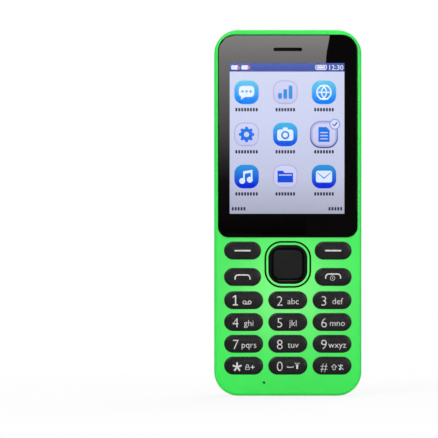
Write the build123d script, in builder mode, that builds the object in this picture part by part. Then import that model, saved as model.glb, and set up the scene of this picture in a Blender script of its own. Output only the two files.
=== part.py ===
"""Feature phone, upright, with its screen facing -Y, its height along +Z and its foot's centre at the origin.

All lengths are in millimetres. A depth is counted backwards from the front face of the housing.
"""

import math
import os

from build123d import *

os.makedirs("parts", exist_ok=True)

# Body and fits
corner_radius = 7.8
key_proud = 0.4
overrun = 1.0
slip = 0.15
touch = 0.05

# Front housing
face_wall = 1.3
side_wall = 1.6
band_depth = 9.2
rim_wall = 0.87
rebate_depth = 0.8
front_round = 1.0
rear_round = 0.3
boss_radius = 1.7

# Lit area of the display
screen_width = 37.0
screen_height = 48.6
screen_top_margin = 9.1
screen_foot_margin = 7.6
screen_side_margin = 3.95
screen_offset = -0.25
screen_border = 0.5

# Display window, seated in the front face on a frame of tape
window_top_margin = 1.6
window_side_margin = 1.3
window_top_radius = 5.2
window_bottom_radius = 3.4
window_thickness = 0.9
window_gap = 0.12
window_edge_round = 0.2
tape_thickness = 0.15
tape_inset = 0.4
ledge_thickness = 0.6
window_width = screen_width + 2 * screen_side_margin
window_height = screen_height + screen_top_margin + screen_foot_margin
ledge_front = window_thickness + tape_thickness
ledge_back = ledge_front + ledge_thickness
body_width = window_width + 2 * window_side_margin

# Key rows from the foot up to the window, with the navigation ring between the side keys
number_rows = (
    ("key_star", "key_0", "key_hash"),
    ("key_7", "key_8", "key_9"),
    ("key_4", "key_5", "key_6"),
    ("key_1", "key_2", "key_3"),
)
key_hole_height = 5.8
foot_margin = 6.8
key_side_margin = 1.6
key_row_bar = 1.23
key_column_bar = 1.65
call_row_bar = 1.71
soft_row_bar = 2.7
window_foot_bar = 1.4
key_gap = 0.2
ok_size = 9.6
ring_width = 1.29
ring_fit = 0.03
trim_width = 0.68
trim_gap = 0.55
nav_drop = 0.2
side_key_bar = 1.075
side_key_margin = 1.575
ring_hole = ok_size + 2 * key_gap
ring_size = ring_hole + 2 * ring_width
trim_size = ring_size + 2 * (ring_fit + trim_width)
nav_hole = trim_size + 2 * trim_gap
inner_half_width = body_width / 2 - side_wall
key_pitch_x = (2 * (inner_half_width - key_side_margin) + key_column_bar) / len(number_rows[0])
key_hole_width = key_pitch_x - key_column_bar
key_pitch_z = key_hole_height + key_row_bar
side_key_inner = nav_hole / 2 + side_key_bar
side_key_hole_width = inner_half_width - side_key_margin - side_key_inner
side_key_x = side_key_inner + side_key_hole_width / 2
bottom_row_z = foot_margin + key_hole_height / 2
call_row_z = bottom_row_z + (len(number_rows) - 1) * key_pitch_z + key_hole_height + call_row_bar
soft_row_z = call_row_z + key_hole_height + soft_row_bar
nav_z = (call_row_z + soft_row_z) / 2 - nav_drop

# Height of the window and of the body over those rows
window_foot_z = soft_row_z + key_hole_height / 2 + window_foot_bar
window_z = window_foot_z + window_height / 2
window_top = window_foot_z + window_height
body_height = window_top + window_top_margin
middle_z = body_height / 2

# Display module behind the window
panel_side_margin = 2.0
panel_top_margin = 1.7
panel_foot_margin = 6.3
panel_thickness = 1.05
foam_thickness = 0.2
tray_wall = 0.4
screen_z = window_top - screen_top_margin - screen_height / 2
panel_width = screen_width + 2 * panel_side_margin
panel_height = screen_height + panel_top_margin + panel_foot_margin
panel_z = screen_z + (panel_top_margin - panel_foot_margin) / 2
panel_front = ledge_back + foam_thickness
panel_back = panel_front + panel_thickness

# Earpiece
ear_slot_width = 9.35
ear_slot_height = 1.15
ear_slot_margin = 4.7
ear_mesh_width = 10.6
ear_mesh_height = 2.4
ear_mesh_thickness = 0.1
ear_width = 11.0
ear_height = 4.4
ear_thickness = 1.8
ear_slot_z = window_top - ear_slot_margin
ear_z = panel_z + panel_height / 2 + tray_wall + touch + ear_height / 2 + slip

# Keys
key_round = 0.45
flange_lap = 0.3
flange_thickness = 0.5
key_travel = 0.35
travel_spare = 0.1
flange_front = face_wall + touch
key_back = flange_front + flange_thickness

# Navigation ring round the centre key
trim_radius = 4.95
trim_proud = 0.25
ring_hole_radius = 2.4
ring_edge = 0.35
nav_flange_thickness = 0.4
rocking_gap = 0.38
ok_travel = 0.3
ok_sunk = 0.2
ok_flange_lap = 0.3
ok_flange_thickness = 0.3
ok_post_radius = 1.2
nav_hole_radius = trim_radius + trim_gap
ring_radius = trim_radius - trim_width - ring_fit
nav_flange_size = nav_hole + 2 * flange_lap
nav_flange_radius = nav_hole_radius + flange_lap
nav_flange_front = face_wall + rocking_gap
nav_flange_back = nav_flange_front + nav_flange_thickness
ok_radius = ring_hole_radius - key_gap
ok_flange_size = ring_hole + 2 * ok_flange_lap
ok_flange_front = nav_flange_back + rocking_gap
ok_flange_back = ok_flange_front + ok_flange_thickness

# Silicone mat, navigation web and dome sheet
mat_thickness = 0.5
mat_side_gap = 0.75
mat_foot_lap = 0.4
mat_window_gap = 0.5
mat_radius = 1.5
plunger_radius = 1.1
plunger_length = 0.5
web_clearance = 0.4
web_radius = 5.4
web_hole_radius = 3.0
web_thickness = 0.4
web_nub_radius = 0.9
web_nub_length = 0.15
dome_sheet_thickness = 0.4
dome_film = 0.1
dome_radius = 2.0
dome_pocket_radius = 2.1
dome_height = 0.25
dome_top_radius = 1.2
dome_sides = 8
mat_front = key_back + key_travel + travel_spare
mat_back = mat_front + mat_thickness
mat_foot_z = foot_margin - mat_foot_lap
mat_top_z = window_foot_z - mat_window_gap
web_front = nav_flange_back + rocking_gap + touch
web_back = web_front + web_thickness
web_size = nav_flange_size - 2 * slip
web_hole = ok_flange_size + 2 * web_clearance
nav_dome_reach = (web_size + web_hole) / 4
dome_sheet_front = mat_back + plunger_length + touch
board_front = dome_sheet_front + dome_sheet_thickness
ok_post_length = dome_sheet_front - ok_flange_back - ok_travel - travel_spare

# Circuit board and what stands on it
board_thickness = 0.9
board_gap = 0.4
flex_slot_width = 19.0
flex_slot_height = 1.0
flex_width = 18.0
flex_thickness = 0.12
flex_tail = 6.5
flex_lap = 1.2
flex_clearance = 1.55
light_width = 1.6
light_height = 0.8
light_thickness = 0.35
light_window_margin = 0.3
mid_light_x = 11.2
can_height = 1.5
can_wall = 0.2
can_round = 0.3
processor_can_width = 20.0
processor_can_height = 20.0
processor_can_rise = 2.35
radio_can_width = 15.0
radio_can_height = 15.0
radio_can_x = 9.0
board_edge_margin = 2.75
processor_size = 10.0
memory_chip_width = 7.0
memory_chip_height = 9.0
radio_chip_size = 6.5
power_chip_size = 4.5
chip_thickness = 0.9
chip_gap = 1.0
motor_radius = 5.0
motor_thickness = 2.7
motor_drop = 26.0
motor_edge = 0.3
board_back = board_front + board_thickness
board_half_width = inner_half_width - board_gap
tray_back = board_front - touch
flex_bend_z = panel_z - panel_height / 2 - touch - tray_wall - flex_slot_height / 2
radio_can_z = flex_bend_z + flex_clearance + radio_can_height / 2
processor_can_x = processor_can_width / 2 + board_edge_margin - board_half_width
motor_x = board_half_width - board_edge_margin - motor_radius
motor_z = body_height - motor_drop

# Microphone and its rubber boot
mic_x = -7.7
mic_z = 4.2
mic_hole_radius = 0.4
mic_radius = 1.2
mic_height = 1.2
boot_wall = 0.45
boot_channel_radius = 0.5

# Ports on the top edge
jack_margin = 10.35
jack_width = 6.2
jack_height = 4.4
jack_nose_radius = 2.3
jack_bore_radius = 1.8
jack_bore_depth = 14.0
jack_back_wall = 0.5
jack_lift = 0.1
usb_margin = 12.75
usb_width = 7.6
usb_height = 2.6
usb_length = 5.6
usb_wall = 0.25
usb_radius = 0.7
usb_tongue_width = 4.6
usb_tongue_thickness = 0.7
usb_mouth_inset = 0.4
torch_lens_radius = 1.6
torch_lens_length = 2.4
torch_collar = 0.4
torch_led_width = 3.0
torch_led_height = 2.4
torch_led_length = 2.0
port_gap = 0.1
inner_top = body_height - side_wall
jack_x = body_width / 2 - jack_margin
usb_x = usb_margin - body_width / 2
jack_axis_depth = board_front + jack_lift + jack_height / 2
usb_axis_depth = board_back + usb_height / 2
torch_axis_depth = board_back + torch_lens_radius + port_gap

# Rear chassis with the battery bay
plate_thickness = 0.6
skirt_wall = 1.1
skirt_depth = 2.0
skirt_break_width = 35.0
floor_thickness = 0.6
floor_gap = 0.15
bay_wall = 0.9
bay_wall_drop = 0.7
post_radius = 1.8
plate_front = band_depth - rebate_depth
plate_back = plate_front + plate_thickness
floor_front = board_back + can_height + floor_gap
floor_back = floor_front + floor_thickness

# Screws
screw_radius = 0.7
screw_fit = 0.02
screw_clearance = 0.2
screw_head_radius = 1.3
screw_head_height = 0.7
screw_tip_depth = 2.2
socket_radius = 0.45
socket_depth = 0.4
bottom_screw_margin = 6.75
bottom_screw_z = 3.9
top_screw_margin = 4.35
top_screw_drop = 5.6
screw_seat = plate_back - screw_head_height

# Antenna on the lower deck
antenna_width = 27.0
antenna_height = 8.0
antenna_z = 8.6
antenna_thickness = 0.12
antenna_slot = 0.8
antenna_arm_share = 0.8
antenna_gap = 2.5

# Card sockets under the battery
sim_width = 15.6
sim_height = 17.0
sim_depth = 1.4
sim_x = 8.6
sim_drop = 4.45
memory_width = 12.0
memory_height = 13.0
memory_x = -9.5
card_slot_thickness = 0.8
card_slot_wall = 0.25
card_slot_side = 0.9
card_window_margin = 0.6
sim_z = flex_bend_z - flex_tail - sim_drop - sim_height / 2
memory_z = flex_bend_z + flex_clearance + memory_height / 2

# Battery and its contacts
battery_side_margin = 6.75
battery_lap = 3.3
battery_thickness = 4.6
battery_radius = 1.2
battery_edge = 0.8
battery_gap = 0.3
contact_block_width = 9.0
contact_block_length = 3.4
contact_block_drop = 0.1
contact_notch_spare = 0.3
contact_pitch = 2.6
contact_width = 1.2
contact_tip = 0.7
contact_height = 0.5
contact_rest_gap = 0.25
battery_width = body_width - 2 * battery_side_margin
battery_top = memory_z + memory_height / 2 + battery_lap
battery_foot_z = antenna_z + antenna_height / 2 + antenna_gap + bay_wall + battery_gap
battery_height = battery_top - battery_foot_z
battery_z = battery_foot_z + battery_height / 2
battery_front = floor_back + slip
battery_back = battery_front + battery_thickness
bay_width = battery_width + 2 * battery_gap
bay_height = battery_height + 2 * battery_gap
contact_face_z = battery_top + contact_rest_gap + contact_tip
processor_can_z = contact_face_z + contact_block_length + processor_can_rise + processor_can_height / 2

# Rear cover
cover_inset = 1.4
cover_wall = 1.0
cover_battery_gap = 0.35
cover_straight = 0.6
cover_side_reach = 7.5
cover_end_reach = 10.0
cover_inner_side_reach = 5.5
cover_inner_end_reach = 9.0
cover_corner_tightening = 2.6
cover_tab_length = 5.0
cover_tab_width = 1.15
cover_tab_seat = 0.2
cover_tab_height = 1.3
cover_tab_depth = 0.6
cover_tab_gap = 0.3
cover_tab_spacing = 29.0
notch_width = 8.3
notch_height = 0.5
notch_depth = 1.0
crown_angles = (0, 20, 38, 54, 68, 80, 90)
cover_edge = plate_back + touch
cover_shoulder = cover_edge + cover_straight
cover_inner_back = battery_back + cover_battery_gap
body_depth = cover_inner_back + cover_wall
front_y = -(body_depth - key_proud) / 2

# Loudspeaker behind the grille
grille_counts = (14, 15, 14)
grille_pitch = 1.64
grille_row_pitch = 1.5
grille_hole_radius = 0.4
grille_drop = 15.9
speaker_side_margin = 14.75
speaker_height = 13.0
speaker_thickness = 2.8
speaker_round = 1.5
chamber_wall_x = 5.0
chamber_wall_z = 1.4
chamber_floor = 0.6
chamber_back_drop = 0.6
sound_side = 3.3
sound_height = 5.6
sound_recess = 0.4
gasket_rim = 1.4
gasket_thickness = 0.45
dust_mesh_thickness = 0.1
speaker_width = body_width - 2 * speaker_side_margin
sound_width = speaker_width + 2 * sound_side
grille_z = body_height - grille_drop
chamber_back = cover_inner_back - chamber_back_drop
speaker_back = chamber_back - sound_recess
speaker_front = speaker_back - speaker_thickness


def across(depth):
    """Plane across the phone, facing forwards, at a depth behind the front face."""
    return Plane.XZ.offset(-(front_y + depth))


def slab(front, back, mode=Mode.ADD):
    """Extrude the sketch drawn at the front depth to the back depth."""
    extrude(amount=front - back, mode=mode)


def save(piece, name):
    """Label a finished piece and write it to its file."""
    piece.part.label = name
    export_step(piece.part, f"parts/{name}.step")


def body_outline(inset):
    """Rounded outline of the body, drawn smaller all round."""
    with Locations((0, middle_z)):
        RectangleRounded(body_width - 2 * inset, body_height - 2 * inset, corner_radius - inset)


def window_outline(sketch, grow):
    """Outline of the display window, drawn larger all round."""
    with Locations((0, window_z)):
        Rectangle(window_width + 2 * grow, window_height + 2 * grow)
    fillet(sketch.vertices().group_by(Axis.Y)[-1], window_top_radius + grow)
    fillet(sketch.vertices().group_by(Axis.Y)[0], window_bottom_radius + grow)


def crown_outline(inset, side_reach, end_reach, angle):
    """Outline of the rear cover at an angle up its crown, from 0 at the shoulder to 90 at the back."""
    fall = 1 - math.cos(math.radians(angle))
    with Locations((0, middle_z)):
        RectangleRounded(
            body_width - 2 * (inset + side_reach * fall),
            body_height - 2 * (inset + end_reach * fall),
            corner_radius - inset - cover_corner_tightening * fall,
        )


number_columns = (-key_pitch_x, 0, key_pitch_x)
key_places = {
    name: (x, bottom_row_z + row * key_pitch_z, key_hole_width)
    for row, names in enumerate(number_rows)
    for name, x in zip(names, number_columns)
}
key_places["call_key"] = (-side_key_x, call_row_z, side_key_hole_width)
key_places["end_key"] = (side_key_x, call_row_z, side_key_hole_width)
key_places["soft_key_left"] = (-side_key_x, soft_row_z, side_key_hole_width)
key_places["soft_key_right"] = (side_key_x, soft_row_z, side_key_hole_width)
plunger_places = [(x, z) for x, z, width in key_places.values()]
nav_dome_places = [
    (nav_dome_reach, nav_z),
    (-nav_dome_reach, nav_z),
    (0, nav_z + nav_dome_reach),
    (0, nav_z - nav_dome_reach),
]
dome_places = plunger_places + nav_dome_places + [(0, nav_z)]
light_places = [
    (side * key_pitch_x / 2, bottom_row_z + step * key_pitch_z)
    for side in (-1, 1)
    for step in (0.5, 2.5)
] + [(side * mid_light_x, (call_row_z + soft_row_z) / 2) for side in (-1, 1)]
screw_places = [
    (side * x, z)
    for side in (-1, 1)
    for x, z in (
        (body_width / 2 - bottom_screw_margin, bottom_screw_z),
        (body_width / 2 - top_screw_margin, body_height - top_screw_drop),
    )
]


# Front housing: face, band round the sides, window pocket, key holes, port holes and screw bosses
with BuildPart() as front_housing:
    with BuildSketch(across(0)):
        body_outline(0)
    slab(0, band_depth)
    fillet(front_housing.faces().sort_by(Axis.Y)[0].edges(), front_round)
    fillet(front_housing.faces().sort_by(Axis.Y)[-1].edges(), rear_round)
    with BuildSketch(across(0)) as pocket:
        window_outline(pocket, window_gap)
    slab(0, ledge_front, mode=Mode.SUBTRACT)
    with BuildSketch(across(ledge_back)):
        body_outline(side_wall)
    slab(ledge_back, band_depth, mode=Mode.SUBTRACT)
    with BuildSketch(across(face_wall)):
        body_outline(side_wall)
        with Locations((0, mat_top_z + touch)):
            Rectangle(body_width, body_height, align=(Align.CENTER, Align.MIN), mode=Mode.SUBTRACT)
    slab(face_wall, ledge_back, mode=Mode.SUBTRACT)
    with BuildSketch(across(plate_front)):
        body_outline(rim_wall)
    slab(plate_front, band_depth, mode=Mode.SUBTRACT)
    with BuildSketch(across(face_wall)):
        with Locations(*screw_places):
            Circle(boss_radius)
    slab(face_wall, board_front)
    with BuildSketch(across(screw_tip_depth - touch)):
        with Locations(*screw_places):
            Circle(screw_radius + screw_fit)
    slab(screw_tip_depth - touch, board_front, mode=Mode.SUBTRACT)
    with BuildSketch(across(0)):
        for x, z, width in key_places.values():
            with Locations((x, z)):
                SlotOverall(width, key_hole_height)
        with Locations((0, nav_z)):
            RectangleRounded(nav_hole, nav_hole, nav_hole_radius)
        with Locations((mic_x, mic_z)):
            Circle(mic_hole_radius)
        with Locations((0, ear_slot_z)):
            SlotOverall(ear_slot_width, ear_slot_height)
        with Locations((screen_offset, screen_z)):
            Rectangle(screen_width + 2 * screen_border, screen_height + 2 * screen_border)
    slab(0, ledge_back, mode=Mode.SUBTRACT)
    with BuildSketch(Plane.XY.offset(inner_top - overrun)):
        with Locations((jack_x, front_y + jack_axis_depth)):
            Circle(jack_nose_radius + port_gap)
        with Locations((usb_x, front_y + usb_axis_depth)):
            RectangleRounded(usb_width + 2 * port_gap, usb_height + 2 * port_gap, usb_radius + port_gap)
        with Locations((0, front_y + torch_axis_depth)):
            Circle(torch_lens_radius + port_gap)
    extrude(amount=side_wall + 2 * overrun, mode=Mode.SUBTRACT)
save(front_housing, "front_housing")

# Display window, with the earpiece slot
with BuildPart() as display_window:
    with BuildSketch(across(0)) as pane:
        window_outline(pane, 0)
    slab(0, window_thickness)
    fillet(display_window.faces().sort_by(Axis.Y)[0].edges(), window_edge_round)
    with BuildSketch(across(0)):
        with Locations((0, ear_slot_z)):
            SlotOverall(ear_slot_width, ear_slot_height)
    slab(0, window_thickness, mode=Mode.SUBTRACT)
save(display_window, "display_window")

# Frame of tape that holds the window, open over the screen and the earpiece mesh
with BuildPart() as window_tape:
    with BuildSketch(across(window_thickness)) as tape:
        window_outline(tape, -tape_inset)
        with Locations((screen_offset, screen_z)):
            Rectangle(
                screen_width + 2 * screen_border,
                screen_height + 2 * screen_border,
                mode=Mode.SUBTRACT,
            )
        with Locations((0, ear_slot_z)):
            Rectangle(ear_mesh_width + 2 * slip, ear_mesh_height + 2 * slip, mode=Mode.SUBTRACT)
    slab(window_thickness, ledge_front)
save(window_tape, "window_tape")

# Dust mesh in the earpiece slot
with BuildPart() as earpiece_mesh:
    with BuildSketch(across(window_thickness)):
        with Locations((0, ear_slot_z)):
            RectangleRounded(ear_mesh_width, ear_mesh_height, ear_slot_height / 2)
    slab(window_thickness, window_thickness + ear_mesh_thickness)
save(earpiece_mesh, "earpiece_mesh")

# Earpiece speaker, behind the slot
with BuildPart() as earpiece_speaker:
    with BuildSketch(across(ledge_back + touch)):
        with Locations((0, ear_z)):
            RectangleRounded(ear_width, ear_height, ear_slot_height)
    slab(ledge_back + touch, ledge_back + touch + ear_thickness)
    with BuildSketch(across(ledge_back + touch)):
        with Locations((0, ear_z)):
            SlotOverall(ear_width - 2 * ear_slot_height, ear_slot_height)
    slab(ledge_back + touch, ledge_back + 2 * touch + foam_thickness, mode=Mode.SUBTRACT)
save(earpiece_speaker, "earpiece_speaker")

# Foam frame between the housing's ledge and the display panel
with BuildPart() as display_foam:
    with BuildSketch(across(ledge_back)):
        with Locations((screen_offset, screen_z)):
            Rectangle(screen_width + 2 * panel_side_margin, screen_height + 2 * panel_top_margin)
            Rectangle(
                screen_width + 2 * screen_border,
                screen_height + 2 * screen_border,
                mode=Mode.SUBTRACT,
            )
    slab(ledge_back, panel_front)
save(display_foam, "display_foam")

# Display panel
with BuildPart() as display_panel:
    with BuildSketch(across(panel_front)):
        with Locations((screen_offset, panel_z)):
            Rectangle(panel_width, panel_height)
    slab(panel_front, panel_back)
save(display_panel, "display_panel")

# Backlight: a tray that holds the panel
with BuildPart() as display_backlight:
    with BuildSketch(across(panel_front + touch)):
        with Locations((screen_offset, panel_z)):
            Rectangle(panel_width + 2 * (touch + tray_wall), panel_height + 2 * (touch + tray_wall))
    slab(panel_front + touch, tray_back)
    with BuildSketch(across(panel_front + touch)):
        with Locations((screen_offset, panel_z)):
            Rectangle(panel_width + 2 * touch, panel_height + 2 * touch)
    slab(panel_front + touch, panel_back, mode=Mode.SUBTRACT)
    with BuildSketch(across(panel_back)):
        with Locations((screen_offset, panel_z - panel_height / 2 - touch - tray_wall)):
            Rectangle(flex_width + 2 * slip, flex_lap + tray_wall + touch, align=(Align.CENTER, Align.MIN))
    slab(panel_back, panel_back + flex_thickness + touch, mode=Mode.SUBTRACT)
save(display_backlight, "display_backlight")

# Display flex: from under the panel's foot, through a slot in the board, to pads on the board's back
with BuildPart() as display_flex:
    with BuildSketch(Plane.YZ.offset(screen_offset - flex_width / 2)):
        with BuildLine():
            Polyline(
                (front_y + panel_back, panel_z - panel_height / 2 + flex_lap),
                (front_y + panel_back, flex_bend_z - flex_thickness),
                (front_y + board_back, flex_bend_z - flex_thickness),
                (front_y + board_back, flex_bend_z - flex_tail),
                (front_y + board_back + flex_thickness, flex_bend_z - flex_tail),
                (front_y + board_back + flex_thickness, flex_bend_z),
                (front_y + panel_back + flex_thickness, flex_bend_z),
                (front_y + panel_back + flex_thickness, panel_z - panel_height / 2 + flex_lap),
                close=True,
            )
        make_face()
    extrude(amount=flex_width)
save(display_flex, "display_flex")


def make_key(x, z, width):
    """One key: a domed cap through the face and a flange behind it that keeps it in."""
    with BuildPart() as key:
        with BuildSketch(across(-key_proud)):
            with Locations((x, z)):
                SlotOverall(width - 2 * key_gap, key_hole_height - 2 * key_gap)
        slab(-key_proud, flange_front)
        fillet(key.faces().sort_by(Axis.Y)[0].edges(), key_round)
        with BuildSketch(across(flange_front)):
            with Locations((x, z)):
                SlotOverall(width + 2 * flange_lap, key_hole_height + 2 * flange_lap)
        slab(flange_front, key_back)
    return key


for key_name, (key_x, key_z, hole_width) in key_places.items():
    save(make_key(key_x, key_z, hole_width), key_name)

# Centre key, inside the navigation ring
with BuildPart() as ok_key:
    with BuildSketch(across(ok_sunk - key_proud)):
        with Locations((0, nav_z)):
            RectangleRounded(ok_size, ok_size, ok_radius)
    slab(ok_sunk - key_proud, ok_flange_front)
    fillet(ok_key.faces().sort_by(Axis.Y)[0].edges(), key_round)
    with BuildSketch(across(ok_flange_front)):
        with Locations((0, nav_z)):
            RectangleRounded(ok_flange_size, ok_flange_size, ok_radius + ok_flange_lap)
    slab(ok_flange_front, ok_flange_back)
    with BuildSketch(across(ok_flange_back)):
        with Locations((0, nav_z)):
            Circle(ok_post_radius)
    slab(ok_flange_back, ok_flange_back + ok_post_length)
save(ok_key, "ok_key")

# Navigation ring, which rocks four ways, on a flange behind the face
with BuildPart() as nav_ring:
    with BuildSketch(across(-key_proud)):
        with Locations((0, nav_z)):
            RectangleRounded(ring_size, ring_size, ring_radius)
    slab(-key_proud, nav_flange_front)
    fillet(nav_ring.faces().sort_by(Axis.Y)[0].edges(), ring_edge)
    with BuildSketch(across(nav_flange_front)):
        with Locations((0, nav_z)):
            RectangleRounded(nav_flange_size, nav_flange_size, nav_flange_radius)
    slab(nav_flange_front, nav_flange_back)
    with BuildSketch(across(-key_proud)):
        with Locations((0, nav_z)):
            RectangleRounded(ring_hole, ring_hole, ring_hole_radius)
    slab(-key_proud, nav_flange_back, mode=Mode.SUBTRACT)
    chamfer(nav_ring.faces().sort_by(Axis.Y)[0].inner_wires()[0].edges(), ring_edge)
save(nav_ring, "nav_ring")

# Coloured trim bonded round the navigation ring
with BuildPart() as nav_trim:
    with BuildSketch(across(-trim_proud)):
        with Locations((0, nav_z)):
            RectangleRounded(trim_size, trim_size, trim_radius)
    slab(-trim_proud, nav_flange_front)
    fillet(nav_trim.faces().sort_by(Axis.Y)[0].edges(), trim_width / 3)
    with BuildSketch(across(-trim_proud)):
        with Locations((0, nav_z)):
            RectangleRounded(
                trim_size - 2 * trim_width, trim_size - 2 * trim_width, trim_radius - trim_width
            )
    slab(-trim_proud, nav_flange_front, mode=Mode.SUBTRACT)
save(nav_trim, "nav_trim")

# Silicone web that the navigation ring rocks on, with a nub over each of its four domes
with BuildPart() as nav_web:
    with BuildSketch(across(web_front)):
        with Locations((0, nav_z)):
            RectangleRounded(web_size, web_size, web_radius)
            RectangleRounded(web_hole, web_hole, web_hole_radius, mode=Mode.SUBTRACT)
    slab(web_front, web_back)
    with BuildSketch(across(web_back)):
        with Locations(*nav_dome_places):
            Circle(web_nub_radius)
    slab(web_back, web_back + web_nub_length)
save(nav_web, "nav_web")

# Silicone mat behind the keys, with a plunger over each dome
mat_width = body_width - 2 * (side_wall + mat_side_gap)
mat_height = mat_top_z - mat_foot_z
with BuildPart() as keypad_mat:
    with BuildSketch(across(mat_front)):
        with Locations((0, mat_foot_z + mat_height / 2)):
            RectangleRounded(mat_width, mat_height, mat_radius)
        with Locations((0, nav_z)):
            RectangleRounded(
                web_size + 2 * web_clearance,
                web_size + 2 * web_clearance,
                web_radius + web_clearance,
                mode=Mode.SUBTRACT,
            )
    slab(mat_front, mat_back)
    with BuildSketch(across(mat_back)):
        with Locations(*plunger_places):
            Circle(plunger_radius)
    slab(mat_back, mat_back + plunger_length)
save(keypad_mat, "keypad_mat")

# Dome sheet: a film over a spacer with a pocket for each dome and a window for each light
with BuildPart() as dome_sheet:
    with BuildSketch(across(dome_sheet_front)):
        with Locations((0, mat_foot_z + mat_height / 2)):
            RectangleRounded(mat_width - 2 * touch, mat_height - 2 * touch, mat_radius)
        with Locations(*light_places):
            Rectangle(
                light_width + 2 * light_window_margin,
                light_height + 2 * light_window_margin,
                mode=Mode.SUBTRACT,
            )
    slab(dome_sheet_front, board_front)
    with BuildSketch(across(dome_sheet_front + dome_film)):
        with Locations(*dome_places):
            Circle(dome_pocket_radius)
    slab(dome_sheet_front + dome_film, board_front, mode=Mode.SUBTRACT)
save(dome_sheet, "dome_sheet")

# Metal domes: a shallow eight-sided snap disc under each key
with BuildPart() as key_domes:
    for dome_place in dome_places:
        with BuildSketch(across(board_front)):
            with Locations(dome_place):
                RegularPolygon(dome_radius, dome_sides)
        with BuildSketch(across(board_front - dome_height)):
            with Locations(dome_place):
                RegularPolygon(dome_top_radius, dome_sides)
        loft(ruled=True)
save(key_domes, "key_domes")

# Keypad lights between the keys
with BuildPart() as keypad_lights:
    with BuildSketch(across(board_front - light_thickness)):
        with Locations(*light_places):
            Rectangle(light_width, light_height)
    slab(board_front - light_thickness, board_front)
save(keypad_lights, "keypad_lights")

# Circuit board, open for the screws, the display flex and the sunk headphone jack
with BuildPart() as circuit_board:
    with BuildSketch(across(board_front)):
        body_outline(side_wall + board_gap)
        with Locations(*screw_places):
            Circle(screw_radius + screw_clearance, mode=Mode.SUBTRACT)
        with Locations((screen_offset, flex_bend_z)):
            Rectangle(flex_slot_width, flex_slot_height, mode=Mode.SUBTRACT)
        with Locations((jack_x, body_height)):
            Rectangle(
                jack_width + 2 * slip,
                2 * (jack_bore_depth + jack_back_wall + port_gap + slip),
                mode=Mode.SUBTRACT,
            )
    slab(board_front, board_back)
save(circuit_board, "circuit_board")


def make_can(x, z, width, height):
    """Pressed metal can over a group of chips, open towards the board."""
    with BuildPart() as can:
        with BuildSketch(across(board_back)):
            with Locations((x, z)):
                RectangleRounded(width, height, can_round)
        slab(board_back, board_back + can_height)
        fillet(can.faces().sort_by(Axis.Y)[-1].edges(), can_wall)
        with BuildSketch(across(board_back)):
            with Locations((x, z)):
                Rectangle(width - 2 * can_wall, height - 2 * can_wall)
        slab(board_back, board_back + can_height - can_wall, mode=Mode.SUBTRACT)
    return can


save(make_can(processor_can_x, processor_can_z, processor_can_width, processor_can_height), "processor_can")
save(make_can(radio_can_x, radio_can_z, radio_can_width, radio_can_height), "radio_can")

# Chips under the two cans
with BuildPart() as board_chips:
    with BuildSketch(across(board_back)):
        with Locations((processor_can_x - processor_size / 2 + chip_gap, processor_can_z)):
            Rectangle(processor_size, processor_size)
        with Locations((processor_can_x + memory_chip_width / 2 + 2 * chip_gap, processor_can_z)):
            Rectangle(memory_chip_width, memory_chip_height)
        with Locations((radio_can_x - radio_chip_size / 2 + chip_gap, radio_can_z)):
            Rectangle(radio_chip_size, radio_chip_size)
        with Locations((radio_can_x + power_chip_size / 2 + 2 * chip_gap, radio_can_z)):
            Rectangle(power_chip_size, power_chip_size)
    slab(board_back, board_back + chip_thickness)
save(board_chips, "board_chips")

# Coin vibration motor on the board's back
with BuildPart() as vibration_motor:
    with BuildSketch(across(board_back)):
        with Locations((motor_x, motor_z)):
            Circle(motor_radius)
    slab(board_back, board_back + motor_thickness)
    fillet(vibration_motor.faces().sort_by(Axis.Y)[-1].edges(), motor_edge)
save(vibration_motor, "vibration_motor")

# Microphone, and the rubber boot that joins it to its hole
mic_front = board_front - mic_height
with BuildPart() as microphone:
    with BuildSketch(across(mic_front)):
        with Locations((mic_x, mic_z)):
            Circle(mic_radius)
    slab(mic_front, board_front)
save(microphone, "microphone")
with BuildPart() as microphone_boot:
    with BuildSketch(across(face_wall)):
        with Locations((mic_x, mic_z)):
            Circle(mic_radius + touch + boot_wall)
            Circle(boot_channel_radius, mode=Mode.SUBTRACT)
    slab(face_wall, board_front)
    with BuildSketch(across(mic_front - touch)):
        with Locations((mic_x, mic_z)):
            Circle(mic_radius + touch)
    slab(mic_front - touch, board_front, mode=Mode.SUBTRACT)
save(microphone_boot, "microphone_boot")

# Headphone jack: a block with a round nose in the housing's top wall and a blind bore
jack_foot_z = body_height - port_gap - jack_bore_depth - jack_back_wall
with BuildPart() as headphone_jack:
    with BuildSketch(Plane.XY.offset(jack_foot_z)):
        with Locations((jack_x, front_y + jack_axis_depth)):
            Rectangle(jack_width, jack_height)
    extrude(amount=inner_top - port_gap - jack_foot_z)
    with BuildSketch(Plane.XY.offset(inner_top - port_gap)):
        with Locations((jack_x, front_y + jack_axis_depth)):
            Circle(jack_nose_radius)
    extrude(amount=side_wall)
    with BuildSketch(Plane.XY.offset(body_height - port_gap)):
        with Locations((jack_x, front_y + jack_axis_depth)):
            Circle(jack_bore_radius)
    extrude(amount=-jack_bore_depth, mode=Mode.SUBTRACT)
save(headphone_jack, "headphone_jack")

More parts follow.
